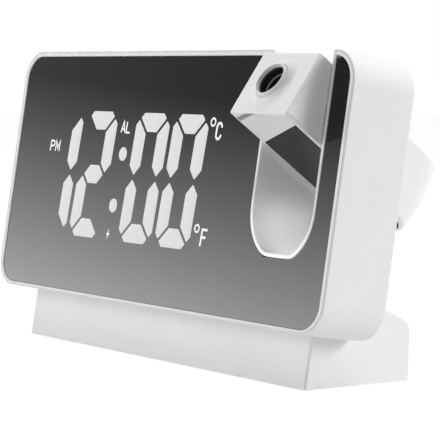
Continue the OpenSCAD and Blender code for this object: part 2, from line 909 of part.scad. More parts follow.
module arm_front_cover() {
    color("white") in_arm() difference() {
        union() {
            arm_layer(arm_wall + 0.1, 0, arm_cover_t);
            for (z = saddle_z) {
                difference() {
                    intersection() {
                        saddle(z, -1, arm_t / 2 - 0.5);
                        arm_layer(arm_wall + 0.3, 0, arm_t);
                    }
                    for (p = arm_screw_s) {
                        facing_back(p[0], -arm_t / 2 + arm_cover_t, p[1])
                            cylinder(h = arm_t, r = 2.2);
                    }
                }
            }
        }
        insert_space(arm_mirror_t, 0.1);
        for (p = arm_screw_s) {
            facing_back(p[0], -arm_t / 2 - 1, p[1]) {
                cylinder(h = arm_cover_t + 2, r = screw_hole_r);
                cylinder(h = 1 + arm_mirror_t + head_h, r = head_r + 0.1);
            }
        }
    }
}

module arm_mirror() {
    color([0.2, 0.2, 0.21]) in_arm() intersection() {
        arm_layer(arm_wall + 0.1, 0, arm_mirror_t);
        insert_space(arm_mirror_t, 0);
    }
}

module arm_cover_screws() {
    color("silver") in_arm() for (p = arm_screw_s) {
        facing_back(p[0], -arm_t / 2 + arm_mirror_t + head_h, p[1]) screw(5.5);
    }
}

// --- Optics ----------------------------------------------------------------------------------

module focus_ring() {
    rim_z = arm_reach + ring_h;
    color("whitesmoke") in_arm() rotate_extrude() polygon([[ring_bore_r, ring_flange_z],
        [ring_flange_r, ring_flange_z], [ring_flange_r, ring_flange_z + ring_flange_t],
        [neck_r, ring_flange_z + ring_flange_t], [neck_r, arm_reach + flare_h],
        [ring_rim_r, arm_reach + flare_h + 0.4], [ring_rim_r, rim_z - 0.3],
        [ring_rim_r - 0.3, rim_z], [ring_rim_r - 0.5, rim_z], [ring_bore_r, rim_z - 1]]);
}

module lens_cell() {
    back = cell_front - cell_l;
    seat = lens_edge + 0.6;
    color([0.1, 0.1, 0.1]) in_arm() {
        rotate_extrude() polygon([[lens_r, back], [cell_out_r, back], [cell_out_r, cell_front],
            [lens_r, cell_front], [lens_r, cell_front - seat - 1],
            [3.3, cell_front - seat - 1 - seat_drop], [3.3, back + seat + 1 + seat_drop],
            [lens_r, back + seat + 1]]);
        for (s = [0, 1]) {
            mirror([s, 0, 0]) translate([cell_out_r - 0.3, -1, key_z - 1])
                cube([barrel_r - cell_out_r, 2, 2]);
        }
    }
}

// A lens with two convex faces and a straight rim, its middle at height z
module lens(z) {
    sag = (lens_t - lens_edge) / 2;
    face_r = (pow(lens_r, 2) + pow(sag, 2)) / (2 * sag);
    intersection() {
        translate([0, 0, z - lens_t / 2 - 1]) cylinder(h = lens_t + 2, r = lens_r);
        translate([0, 0, z + lens_t / 2 - face_r]) sphere(face_r, $fn = 128);
        translate([0, 0, z - lens_t / 2 + face_r]) sphere(face_r, $fn = 128);
    }
}

module front_lens() {
    color([0.75, 0.85, 0.9]) in_arm() lens(cell_front - 1.6 - lens_edge / 2);
}

module rear_lens() {
    color([0.75, 0.85, 0.9]) in_arm() lens(cell_front - cell_l + 1.6 + lens_edge / 2);
}

module optics_barrel() {
    color([0.12, 0.12, 0.12]) in_arm() difference() {
        rotate_extrude() polygon([[ring_bore_r, barrel_back], [barrel_r, barrel_back],
            [barrel_r, saddle_z[0] - 1.2], [barrel_r + 1, saddle_z[0] - 1.2],
            [barrel_r + 1, saddle_z[0]], [barrel_r, saddle_z[0]],
            [barrel_r, saddle_z[0] + saddle_t], [barrel_r + 1, saddle_z[0] + saddle_t],
            [barrel_r + 1, saddle_z[0] + saddle_t + 1.2],
            [barrel_r, saddle_z[0] + saddle_t + 1.2], [barrel_r, barrel_front],
            [ring_bore_r, barrel_front], [ring_bore_r, cell_room_z], [cone_bore_r, cell_room_z],
            [cone_bore_r, slide_front], [ring_bore_r, slide_front]]);
        translate([-arm_half, -1.1, key_z - 1 - focus_travel - 0.2])
            cube([2 * arm_half, 2.2, 2 + 2 * focus_travel + 0.4]);
    }
}

// The small display glass that is projected
module image_slide() {
    side = ring_bore_r * sqrt(2);
    color([0.3, 0.35, 0.4]) in_arm() translate([-side / 2, -side / 2, slide_front - slide_t])
        cube([side, side, slide_t]);
}

module condenser_lens() {
    face_r = 7;
    color([0.75, 0.85, 0.9]) in_arm() intersection() {
        translate([0, 0, condenser_z]) cylinder(h = 6, r = ring_bore_r);
        translate([0, 0, condenser_z + 2.9 - face_r]) sphere(face_r, $fn = 128);
    }
}

module led_board() {
    color("darkgreen") in_arm() translate([-led_board_w / 2, -led_board_h / 2, barrel_back - led_board_t])
        cube([led_board_w, led_board_h, led_board_t]);
}

module projector_led() {
    color("khaki") in_arm() {
        translate([-1.75, -1.75, barrel_back]) cube([3.5, 3.5, 1.2]);
        translate([0, 0, barrel_back + 1]) cylinder(h = 0.8, r = 1.4);
    }
}

// --- Pivot -----------------------------------------------------------------------------------

// Hollow bush, pressed into the arm's left hub and running in the case's left boss
module pivot_bush() {
    color("silver") at_pivot() difference() {
        union() {
            rod_x(left_end - run_fit - 1.2, -arm_half + hub_l, bush_r);
            rod_x(left_end - run_fit - 1.2, left_end - run_fit, bush_r + 1.6);
        }
        rod_x(left_end - 5, 0, bush_bore_r);
    }
}

// Pin, pressed into the arm's right hub and running in the case's right boss
module pivot_pin() {
    groove_x = right_end + tension_t + run_fit;
    color("silver") at_pivot() difference() {
        rod_x(arm_half - hub_l, groove_x + clip_t + 0.8, pin_r);
        difference() {
            rod_x(groove_x, groove_x + clip_t, pin_r + 1);
            rod_x(groove_x - 1, groove_x + clip_t + 1, pin_r - 0.6);
        }
    }
}

module washer(x0, x1, r, bore_r) {
    difference() {
        rod_x(x0, x1, r);
        rod_x(x0 - 1, x1 + 1, bore_r);
    }
}

module slip_washers() {
    color("dimgray") at_pivot() {
        washer(-slot_half + run_fit, -arm_half, washer_r, bush_r);
        washer(arm_half, slot_half - run_fit, washer_r, pin_r);
    }
}

module tension_washer() {
    color("goldenrod") at_pivot()
        washer(right_end, right_end + tension_t, 5, pin_r + run_fit);
}

module pivot_clip() {
    groove_x = right_end + tension_t + run_fit;
    color("silver") at_pivot() difference() {
        washer(groove_x, groove_x + clip_t, 4.4, pin_r - 0.6);
        translate([groove_x - 1, -1.6, -6]) cube([clip_t + 2, 3.2, 6]);
    }
}

// --- Stand -----------------------------------------------------------------------------------

// Side outline of the stand in the world's Y and Z, its rear shoulder not yet rounded
stand_front = -stand_d / 2;
seat_y = (stand_front + (case_lift + case_front_y * lean_t - stand_floor) * lean_t)
    / (1 + lean_t * lean_t);
stand_profile = [[stand_front, stand_floor],
    [seat_y, case_lift - (seat_y - case_front_y) * lean_t], case_point(case_d, 0),
    case_point(case_d, rest_h), [stand_d / 2 + back_flare, stand_back_h],
    [stand_d / 2, stand_floor]];

function unit(v) = v / norm(v);
function left_of(v) = [-v[1], v[0]];

// The outline taken in by d: its corners run clockwise, seen along +X with Z up
function taken_in(points, d) = [for (i = [0:len(points) - 1])
    let (n = len(points), p = points[i], u = unit(p - points[(i + n - 1) % n]),
        v = unit(points[(i + 1) % n] - p), a = -left_of(u), b = -left_of(v))
    p + d * (a + b) / (1 + a * b)];

// The outline with the corner before its last rounded
module shouldered(points, r) {
    c = points[4];
    u = unit(points[3] - c);
    v = unit(points[5] - c);
    half = acos(u * v) / 2;
    away = r / tan(half);
    polygon([points[0], points[1], points[2], points[3], c + away * u, c + away * v, points[5]]);
    translate(c + r / sin(half) * unit(u + v)) circle(r);
}

module across(half_w) {
    translate([-half_w, 0, 0]) rotate([90, 0, 90]) linear_extrude(2 * half_w) children();
}

module plan(z0, z1, inset, r) {
    translate([0, 0, z0]) linear_extrude(z1 - z0)
        rounded_rect(-stand_w / 2 + inset, stand_w / 2 - inset, stand_front + inset,
            stand_d / 2 + back_flare - inset, r);
}

module stand_form() {
    intersection() {
        across(stand_w / 2) shouldered(stand_profile, shoulder_r);
        plan(0, 40, 0, plan_r);
    }
}

inner_profile = taken_in(stand_profile, stand_wall);
mouth_y0 = inner_profile[0][0];
mouth_y1 = inner_profile[5][0];

module stand_shell() {
    color("white") difference() {
        union() {
            difference() {
                stand_form();
                across(stand_w / 2 - stand_wall) shouldered(inner_profile, shoulder_r - stand_wall);
                translate([-stand_w / 2 + stand_wall, mouth_y0, -1])
                    cube([stand_w - 2 * stand_wall, mouth_y1 - mouth_y0, 2 + stand_wall]);
            }
            intersection() {
                stand_form();
                for (x = cover_screw_x) {
                    translate([x, cover_screw_y, stand_floor + stand_cover_t])
                        cylinder(h = 30, r = boss_r);
                }
            }
        }
        in_case() for (x = stand_screw_x) {
            translate([x, stand_screw_y, -8]) cylinder(h = 10, r = screw_hole_r);
        }
        for (x = cover_screw_x) {
            translate([x, cover_screw_y, 0]) cylinder(h = 12, r = screw_r);
        }
    }
}

module stand_cover() {
    color("gainsboro") difference() {
        translate([-stand_w / 2 + stand_wall + fit, mouth_y0 + fit, stand_floor])
            cube([stand_w - 2 * (stand_wall + fit), mouth_y1 - mouth_y0 - 2 * fit, stand_cover_t]);
        pad_sheet(-1, pad_t, 0);
        for (x = cover_screw_x) {
            translate([x, cover_screw_y, 0]) {
                cylinder(h = 5, r = screw_hole_r);
                cylinder(h = pad_t + head_h, r = head_r + 0.1);
            }
        }
    }
}

module pad_sheet(z0, z1, gap) {
    x = stand_w / 2 - stand_wall - 3 - gap;
    translate([0, 0, z0]) linear_extrude(z1 - z0)
        rounded_rect(-x, x, mouth_y0 + 3 + gap, mouth_y1 - 3 - gap, 3);
}

module stand_pad() {
    color("dimgray") pad_sheet(0, pad_t, 0.1);
}

module stand_screws() {
    color("silver") in_case() for (x = stand_screw_x) {
        translate([x, stand_screw_y, -stand_wall]) screw(7);
    }
}

module stand_cover_screws() {
    color("silver") for (x = cover_screw_x) {
        translate([x, cover_screw_y, pad_t + head_h]) screw(7.5);
    }
}

front_case();
mirror_panel();
panel_gasket();
display_segments();
display_reflector();
display_board();
segment_leds();
display_screws();
board_header();
rear_cover();
case_screws();
main_board();
main_board_screws();
tact_switches();
buzzer();
port_board();
port_cable();
usb_outlet();
power_inlet();
coin_cell();
cell_contacts();
cell_door();
snooze_bar();
snooze_switch();
mode_button();
set_button();
plus_button();
minus_button();
lamp_button();
case_lead();
arm_housing();
arm_front_cover();
arm_mirror();
arm_cover_screws();
focus_ring();
lens_cell();
front_lens();
rear_lens();
optics_barrel();
image_slide();
condenser_lens();
led_board();
projector_led();
arm_lead();
pivot_bush();
pivot_pin();
slip_washers();
tension_washer();
pivot_clip();
stand_shell();
stand_cover();
stand_pad();
stand_screws();
stand_cover_screws();
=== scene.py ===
import json
import math
import bmesh
import bpy
import numpy as np
from mathutils import Matrix

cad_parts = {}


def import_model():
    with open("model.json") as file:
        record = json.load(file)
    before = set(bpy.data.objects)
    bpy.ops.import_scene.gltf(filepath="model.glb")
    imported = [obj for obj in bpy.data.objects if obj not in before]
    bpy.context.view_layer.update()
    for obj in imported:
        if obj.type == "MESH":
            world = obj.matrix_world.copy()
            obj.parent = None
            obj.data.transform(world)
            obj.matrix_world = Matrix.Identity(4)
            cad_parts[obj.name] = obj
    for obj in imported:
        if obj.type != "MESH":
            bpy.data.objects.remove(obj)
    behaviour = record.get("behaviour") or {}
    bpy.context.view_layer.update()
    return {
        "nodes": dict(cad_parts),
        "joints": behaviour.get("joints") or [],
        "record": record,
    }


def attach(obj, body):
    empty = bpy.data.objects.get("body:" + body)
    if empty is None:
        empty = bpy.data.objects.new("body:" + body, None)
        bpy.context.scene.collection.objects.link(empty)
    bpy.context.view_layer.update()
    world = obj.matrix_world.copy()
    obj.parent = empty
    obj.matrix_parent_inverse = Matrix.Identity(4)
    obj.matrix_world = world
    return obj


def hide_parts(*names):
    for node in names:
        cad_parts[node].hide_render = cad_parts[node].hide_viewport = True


# Looks of a bedside projection clock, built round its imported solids. Sizes are in millimetres until
# a point is placed, and then in metres. Case frame: x to the right, y back from the front lip,
# z up the leaning face. Arm frame: x to the right, y from the mirror face to the back face, s along
# the lens axis, all three from the pivot.

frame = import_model()
MM = 0.001
WHITE = (1, 1, 1, 1)

# --- Places, from the frame's joints ---

JOINTS = {joint["name"]: joint for joint in frame["joints"]}
PIVOT = np.array(JOINTS["arm_tilt"]["pos_m"]) / MM
RIGHT = np.array([1.0, 0.0, 0.0])
DEEP = np.array(JOINTS["door_twist"]["axis"])
UP = -np.array(JOINTS["snooze_press"]["axis"])
LENS = np.array(JOINTS["focus_slide"]["axis"])
ARM_BACK = np.cross(LENS, RIGHT)

# --- Driving sizes ---

# Case: outside, corner radius, wall, widths of the lip, depths of the panel's face and back
CASE_W = 186.0
CASE_H = 84.3
CASE_D = 23.7
CASE_R = 10.0
WALL = 2.0
LIP_SIDE = 2.0
LIP_TOP = 1.8
LIP_BOTTOM = 1.3
PANEL_Y = 0.3
PANEL_BACK = 1.8

# Slot and pivot: the radii about the pivot are those of the foot's flat and of the shoulder's centre
SLOT_X = 67.65
SLOT_HALF = 14.35
SLOT_R = 41.1
SLOT_WALL = 1.2
SLOT_NOOK = 0.8
SHOULDER = 28.117
PIVOT_Y = CASE_D / 2
PIVOT_Z = 62.0

# Arm: half width, thickness, tail and lens end from the pivot, walls, edges, bore and flare
ARM_HALF = 13.85
ARM_T = 22.2
ARM_TAIL = 40.6
ARM_REACH = 23.6
ARM_WALL = 1.1
ARM_END_WALL = 1.6
ARM_COVER_T = 2.6
ARM_COVER_END = 22.5
ARM_EDGE = 0.7
ARM_END_EDGE = 0.6
ARM_BORE_R = 6.08
FLARE_H = 1.25
FLARE_R = 9.4
FLARE_TOP_R = 6.55

# Snooze bar's pocket, digits and stand
SNOOZE = dict(x=-10.0, y=12.5, w=62.3, d=9.3, pocket=1.9, draft=0.02)
DIGIT = dict(w=19.5, h=43.3, stroke=6.3, gap=0.75, cut=4.1, slant=3.2, z=20.2,
             x=(-71.7, -50.1, -19.1, 2.5))
STAND_W = 158.0
STAND_D = 40.9
STAND_WALL = 2.2
STAND_FLOOR = 0.2
STAND_REST_H = 14.0
STAND_BACK_H = 17.8
STAND_BACK_FLARE = 0.6

# The mirror's painted glow, which lifts its dark reflection, a print's height over and under its surface,
# and a hair's width
FACE_PAINTED_GLOW = 0.014
PRINT_OVER = 0.03
PRINT_UNDER = -0.01
HAIR = 0.001

CASE_ORIGIN = PIVOT - SLOT_X * RIGHT - PIVOT_Y * DEEP - PIVOT_Z * UP


def in_case(x, y, z):
    """World points, in metres, of places in the case frame."""
    x, y, z = np.broadcast_arrays(x, y, z)
    return (CASE_ORIGIN + x[..., None] * RIGHT + y[..., None] * DEEP + z[..., None] * UP) * MM


def in_arm(x, y, s):
    """World points, in metres, of places in the arm frame."""
    x, y, s = np.broadcast_arrays(x, y, s)
    return (PIVOT + x[..., None] * RIGHT + y[..., None] * ARM_BACK + s[..., None] * LENS) * MM


# --- Materials ---

def grey(level):
    """Linear colour of a display grey from 0 to 255."""
    c = level / 255
    linear = c / 12.92 if c <= 0.04045 else ((c + 0.055) / 1.055) ** 2.4
    return (linear, linear, linear)


def map_range(tree, value, low, high, to_low, to_high):
    """A value from low to high, brought to the range from to_low to to_high."""
    node = tree.nodes.new("ShaderNodeMapRange")
    tree.links.new(value, node.inputs["Value"])
    for socket, number in zip(("From Min", "From Max", "To Min", "To Max"), (low, high, to_low, to_high)):
        node.inputs[socket].default_value = number
    return node.outputs["Result"]


class Finish:
    """A procedural material on object coordinates: mottled colour, stirred roughness and fine grain."""

    patch = 14.0

    def __init__(self, name, colour, roughness, metallic=0.0, grain=0.35, bump=0.004,
                 mottle=0.02, stir=0.06):
        colour = np.broadcast_to(colour, 3)
        self.material = bpy.data.materials.new(name)
        self.material.use_nodes = True
        self.tree = self.material.node_tree
        self.shader = self.tree.nodes["Principled BSDF"]
        self.shader.inputs["Metallic"].default_value = metallic
        self.place = self.tree.nodes.new("ShaderNodeTexCoord").outputs["Object"]
        fine = self.noise(grain)
        broad = self.noise(self.patch)
        bumps = self.tree.nodes.new("ShaderNodeBump")
        bumps.inputs["Strength"].default_value = 1.0
        bumps.inputs["Distance"].default_value = bump * MM
        self.link(fine, bumps.inputs["Height"])
        self.link(bumps.outputs["Normal"], self.shader.inputs["Normal"])
        shades = [(0.3, self.dim(colour, 1 - mottle)), (0.7, self.dim(colour, 1 + mottle))]
        self.link(self.ramp(broad, shades), self.shader.inputs["Base Color"])
        self.link(self.ranged(fine, 0.3, 0.7, max(roughness - stir, 0.01), roughness + stir),
                  self.shader.inputs["Roughness"])

    @staticmethod
    def dim(colour, share):
        return tuple(min(c * share, 1.0) for c in colour)

    def link(self, a, b):
        self.tree.links.new(a, b)

    def noise(self, size):
        """Noise whose blobs are about size millimetres across."""
        node = self.tree.nodes.new("ShaderNodeTexNoise")
        node.inputs["Scale"].default_value = 1 / (size * MM)
        node.inputs["Detail"].default_value = 3.0
        self.link(self.place, node.inputs["Vector"])
        return node.outputs["Fac"]

    def ranged(self, value, low, high, to_low, to_high):
        return map_range(self.tree, value, low, high, to_low, to_high)

    def ramp(self, value, stops):
        node = self.tree.nodes.new("ShaderNodeValToRGB")
        elements = node.color_ramp.elements
        while len(elements) < len(stops):
            elements.new(0.5)
        for element, (at, colour) in zip(elements, stops):
            element.position = at
            element.color = (*colour, 1.0)
        self.link(value, node.inputs["Fac"])
        return node.outputs["Color"]

    def along(self, direction, start, end):
        """How far a point lies along a direction, from 0 at start to 1 at end, in millimetres."""
        node = self.tree.nodes.new("ShaderNodeVectorMath")
        node.operation = "DOT_PRODUCT"
        self.link(self.place, node.inputs[0])
        node.inputs[1].default_value = tuple(direction)
        return self.ranged(node.outputs["Value"], start * MM, end * MM, 0.0, 1.0)

    def times(self, colour, other):
        """A colour multiplied by another."""
        node = self.tree.nodes.new("ShaderNodeMix")
        node.data_type = "RGBA"
        node.blend_type = "MULTIPLY"
        node.inputs["Factor"].default_value = 1.0
        self.link(colour, node.inputs[6])
        self.link(other, node.inputs[7])
        return node.outputs[2]

    def set(self, **values):
        for socket, value in values.items():
            self.shader.inputs[socket.replace("_", " ")].default_value = value
        return self


def white_shell():
    return Finish("white_shell", 0.89, 0.36, bump=0.0025, mottle=0.01)


def white_control():
    return Finish("white_control", 0.82, 0.3, bump=0.0015, mottle=0.01)


def painted_reflection_grey(rise):
    """Colour of the painted reflection in the mirror film at a height in millimetres up its slanting scale.
    The grey is 168 less 1.36 times the height and 0.0015 times its square. The film's own sheen and painted
    glow are taken off."""
    level = 168 - 1.36 * rise - 0.0015 * rise ** 2
    sheen = 0.0225
    return tuple(max((c - sheen - FACE_PAINTED_GLOW) / 0.98, 0.0005) for c in grey(level))


def mirror_face():
    """Dark mirror film whose colour is a painted reflection: it darkens from the foot of the face to the
    top, and a little to the right, along a scale of 100 mm."""
    film = Finish("mirror_face", 0.2, 0.05, metallic=1.0, grain=1.2, bump=0.0004, stir=0.02)
    slant, scale = 0.07, 100.0
    foot = float(CASE_ORIGIN @ UP) - slant * CASE_W / 2
    rise = film.along(UP + slant * RIGHT, foot, foot + scale)
    stops = [(share, painted_reflection_grey(scale * share)) for share in np.linspace(0, 1, 14)]
    cloud = film.ramp(film.noise(20.0), [(0.3, (0.96,) * 3), (0.7, (1.0,) * 3)])
    # painted reflection: the film's colour ramps from light at the foot to dark at the top, under a faint
    # random cloud
    film.link(film.times(film.ramp(rise, stops), cloud), film.shader.inputs["Base Color"])
    # painted glow: the film gives a faint even light of its own
    return film.set(Emission_Color=WHITE, Emission_Strength=FACE_PAINTED_GLOW)


def arm_insert():
    return Finish("arm_insert", grey(24), 0.12, grain=0.8, bump=0.0004, stir=0.04).set(IOR=1.31)


def blackened_ring():
    """Blackened metal with a very fine grain over a dark sheen."""
    return Finish("blackened_ring", (0.1, 0.1, 0.105), 0.22, metallic=0.9, grain=0.12, bump=0.0015)


def print_grey():
    return Finish("print_grey", 0.22, 0.5, grain=0.2, bump=0.001)


# Grey of the head's corner patch of painted shade
def painted_shade_grey():
    return Finish("painted_shade_grey", grey(150), 0.3, grain=0.3, bump=0.002)


def lit_white(name, colour, grain, blob, greys, strength):
    """A white that gives light of its own, cloudy between two greys."""
    light = Finish(name, colour, 0.5, grain=grain, bump=0.001)
    glow = light.ramp(light.noise(blob), [(0.25, grey(greys[0])), (0.75, grey(greys[1]))])
    light.link(glow, light.shader.inputs["Emission Color"])
    return light.set(Emission_Strength=strength)


def digit_light():
    """White diffuser of the segments, lit from behind."""
    return lit_white("digit_light", 0.5, 0.5, 0.8, (196, 208), 0.53)


def legend_ink():
    """White print of the legends, a little brighter than the segments."""
    return lit_white("legend_ink", 0.55, 0.3, 0.6, (214, 226), 0.7)


def reflector_white():
    return Finish("reflector_white", 0.8, 0.6, grain=0.5, bump=0.006)


def circuit_board():
    """Solder mask: fine tracks as a pattern of thin lighter lines under the gloss."""
    board = Finish("circuit_board", (0.02, 0.11, 0.05), 0.3, grain=0.4)
    waves = board.tree.nodes.new("ShaderNodeTexWave")
    waves.bands_direction = "X"
    waves.inputs["Scale"].default_value = 180.0
    waves.inputs["Distortion"].default_value = 6.0
    board.link(board.place, waves.inputs["Vector"])
    board.link(board.ramp(waves.outputs["Fac"], [(0.82, (0.02, 0.11, 0.05)), (0.9, (0.06, 0.2, 0.09))]),
               board.shader.inputs["Base Color"])
    return board


def black_part():
    return Finish("black_part", (0.012, 0.012, 0.013), 0.42, grain=0.3)


def bore_black_and_shade():
    """Black lining of the focus ring's bore with painted shade: black deep in the bore, lighter grey towards
    its rim.
    """
    lining = Finish("bore_black_and_shade", 0.012, 0.5, grain=0.3, bump=0.003)
    start = float(PIVOT @ LENS) + ARM_REACH
    shade_span = 1.4
    depth = lining.along(LENS, start, start + shade_span)
    # painted shade: darker the deeper into the bore
    lining.link(lining.ramp(depth, [(0.3, (0.008,) * 3), (0.55, grey(70)), (1.0, grey(150))]),
                lining.shader.inputs["Base Color"])
    return lining


def black_rubber():
    return Finish("black_rubber", 0.008, 0.75, grain=0.25, bump=0.01)


# Near-black that hardly reflects, for the tail's patch of painted shade
def painted_shade_black():
    return Finish("painted_shade_black", 0.004, 0.8, grain=0.25, bump=0.01).set(IOR=1.1)


def pad_rubber():
    return Finish("pad_rubber", 0.09, 0.85, grain=0.6, bump=0.05, mottle=0.08)


def lead_sheath():
    return Finish("lead_sheath", 0.015, 0.5, grain=0.4)


def cable_sheath():
    return Finish("cable_sheath", 0.5, 0.45, grain=0.5, bump=0.005)


def steel():
    """Plain steel: the grain is drawn out into short scratches along the part."""
    metal = Finish("steel", (0.55, 0.55, 0.57), 0.28, metallic=1.0, grain=0.2, bump=0.002, mottle=0.05)
    stretch = metal.tree.nodes.new("ShaderNodeMapping")
    stretch.inputs["Scale"].default_value = (1.0, 8.0, 8.0)
    metal.link(metal.place, stretch.inputs["Vector"])
    scratch = metal.tree.nodes.new("ShaderNodeTexNoise")
    scratch.inputs["Scale"].default_value = 500.0
    metal.link(stretch.outputs["Vector"], scratch.inputs["Vector"])
    metal.link(metal.ranged(scratch.outputs["Fac"], 0.3, 0.7, 0.2, 0.42), metal.shader.inputs["Roughness"])
    return metal


def spring_brass():
    return Finish("spring_brass", (0.6, 0.42, 0.15), 0.3, metallic=1.0, grain=0.3, bump=0.002, mottle=0.06)


def clear_lens():
    return Finish("clear_lens", (0.96, 0.98, 0.98), 0.02, grain=2.0, bump=0.0001, mottle=0.01,
                  stir=0.01).set(Transmission_Weight=1.0, IOR=1.49)


def display_glass():
    return Finish("display_glass", (0.3, 0.36, 0.42), 0.06, grain=1.0, bump=0.0003,
                  stir=0.03).set(Transmission_Weight=0.6, IOR=1.5)


def led_chip():
    return Finish("led_chip", (0.75, 0.66, 0.25), 0.35, grain=0.2)


def washer_plastic():
    return Finish("washer_plastic", (0.07, 0.07, 0.08), 0.5, grain=0.3)


FINISHES = {make.__name__: make().material for make in (
    white_shell, white_control, mirror_face, arm_insert, blackened_ring, print_grey, painted_shade_grey,
    digit_light, legend_ink, reflector_white, circuit_board, black_part, bore_black_and_shade, black_rubber,
    painted_shade_black, pad_rubber, lead_sheath, cable_sheath, steel, spring_brass, clear_lens,
    display_glass, led_chip, washer_plastic)}


def dress_frame():
    """Every CAD node gets the finish of its material slot in the record."""
    for part in frame["record"]["subparts"]:
        node = frame["nodes"][part["node"]]
        node.data.materials.clear()
        node.data.materials.append(FINISHES[part["material_slot"]])


# --- Surfaces ---

def piece(name, points, body, finish, ring=False, caps=(False, False), replaced=(), crease=38.0):
    """A piece from a grid of points: stations along it, each a closed loop. The stations may close
    into a ring, or each end may be closed by a fan to its middle. Faces are turned outwards by the
    sign of the volume, doubled points are merged, and edges sharper than the crease stay sharp."""
    stations, around = points.shape[:2]
    index = np.arange(stations * around).reshape(stations, around)
    here = index if ring else index[:-1]
    ahead = np.roll(index, -1, axis=0) if ring else index[1:]
    quads = np.stack([here, np.roll(here, -1, axis=1), np.roll(ahead, -1, axis=1), ahead], -1).reshape(-1, 4)
    vertices = points.reshape(-1, 3)
    fans = []
    for closed, row, turn in ((caps[0], index[0], -1), (caps[1], index[-1], 1)):
        if closed:
            hub = len(vertices)
            vertices = np.vstack([vertices, vertices[row].mean(0)])
            fans.append(np.stack([row, np.roll(row, -1), np.full(around, hub)], -1)[:, ::turn])
    corners = np.vstack([quads[:, [0, 1, 2]], quads[:, [0, 2, 3]], *fans])
    a, b, c = (vertices[corners[:, k]] for k in range(3))
    if np.einsum("ij,ij->", a, np.cross(b, c)) < 0:
        quads = quads[:, ::-1]
        fans = [fan[:, ::-1] for fan in fans]
    mesh = bpy.data.meshes.new(name)
    mesh.from_pydata(vertices.tolist(), [], quads.tolist() + [row for fan in fans for row in fan.tolist()])
    tidy = bmesh.new()
    tidy.from_mesh(mesh)
    same = 1e-7
    bmesh.ops.remove_doubles(tidy, verts=tidy.verts, dist=same)
    bmesh.ops.dissolve_degenerate(tidy, edges=tidy.edges, dist=same)
    tidy.to_mesh(mesh)
    tidy.free()
    mesh.polygons.foreach_set("use_smooth", np.ones(len(mesh.polygons), bool))
    mesh.set_sharp_from_angle(angle=math.radians(crease))
    made = bpy.data.objects.new(name, mesh)
    bpy.context.scene.collection.objects.link(made)
    mesh.materials.append(FINISHES[finish])
    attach(made, body)
    if replaced:
        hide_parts(*replaced)


def steps(start, end, count, margin=0.0):
    """Numbers from start to end, the end left out, with one more beside each end at the margin."""
    plain = np.linspace(start, end, count + 1)
    if margin:
        toward = math.copysign(margin, end - start)
        plain = np.array([start, start + toward, *plain[1:-1], end - toward, end])
    return plain[:-1]


def arc(cx, cz, r, start, end, count):
    """Points of a circular arc between two angles in degrees, its last point left out."""
    a = np.radians(steps(start, end, count))
    return np.stack([cx + r * np.cos(a), cz + r * np.sin(a)], -1)


def line(a, b, count, margin=0.2):
    """Points of a straight stretch, its last point left out."""
    a, b = np.asarray(a, float), np.asarray(b, float)
    t = steps(0.0, 1.0, count, margin and margin / np.linalg.norm(b - a))
    return a + t[:, None] * (b - a)


# --- Case ---

def ring_profile(across, half, flat):
    """Radius about the pivot of the slot or the tail at a place across it: a round shoulder of half
    the width, cut off flat, with the two eased into each other."""
    ease = 0.3
    shoulder = SHOULDER + np.sqrt(np.maximum(half ** 2 - across ** 2, 0))
    return (shoulder + flat - np.sqrt((shoulder - flat) ** 2 + 4 * ease ** 2)) / 2


def slot_path(slot, y):
    """The slot's foot at a depth y, from its left wall round to its right wall, grown by a width. Its
    height is the pivot's less the root of the ring's radius squared less the square of the depth
    from the pivot."""
    half = SLOT_HALF + slot
    across = -half * np.cos(steps(0.0, math.pi, 50))
    radius = ring_profile(across, half, SLOT_R + slot)
    return np.stack([SLOT_X + across, PIVOT_Z - np.sqrt(radius ** 2 - (y - PIVOT_Y) ** 2)], -1)


def case_loop(side, top, bottom, slot, y):
    """The case's outline in x and z at a depth y, taken in by a width at each side, down into the slot
    and round the outer corners. The top has points at the ends of the snooze bar's pocket."""
    x0, x1 = side - CASE_W / 2, CASE_W / 2 - side
    z0, z1 = bottom, CASE_H - top
    corner = CASE_R - side
    nook = max(SLOT_NOOK - slot, 0.05)
    left, right = SLOT_X - SLOT_HALF - slot, SLOT_X + SLOT_HALF + slot
    column = min(corner, x1 - right - nook)
    foot = slot_path(slot, y)
    spring = foot[0, 1]
    pocket_x0 = SNOOZE["x"] - SNOOZE["w"] / 2
    pocket_x1 = SNOOZE["x"] + SNOOZE["w"] / 2
    draft = SNOOZE["draft"]
    # along the top, from the left corner to the slot
    ridge = [x0 + corner, x0 + corner + 0.3, -60, pocket_x0 - draft, pocket_x0, -20, 0, pocket_x1,
             pocket_x1 + draft, 40, 52.2]
    return np.concatenate([
        arc(left - nook, z1 - nook, nook, 90, 0, 4),
        line((left, z1 - nook), (left, spring), 8),
        foot,
        line((right, spring), (right, z1 - nook), 8),
        arc(right + nook, z1 - nook, nook, 180, 90, 4),
        line((right + nook, z1), (x1 - column, z1), 1, 0),
        arc(x1 - column, z1 - column, column, 90, 0, 20),
        line((x1, z1 - column), (x1, z0 + corner), 10),
        arc(x1 - corner, z0 + corner, corner, 0, -90, 20),
        line((x1 - corner, z0), (x0 + corner, z0), 16),
        arc(x0 + corner, z0 + corner, corner, 270, 180, 20),
        line((x0, z0 + corner), (x0, z1 - corner), 10),
        arc(x0 + corner, z1 - corner, corner, 180, 90, 20),
        np.stack([ridge, np.full(len(ridge), z1)], -1)])


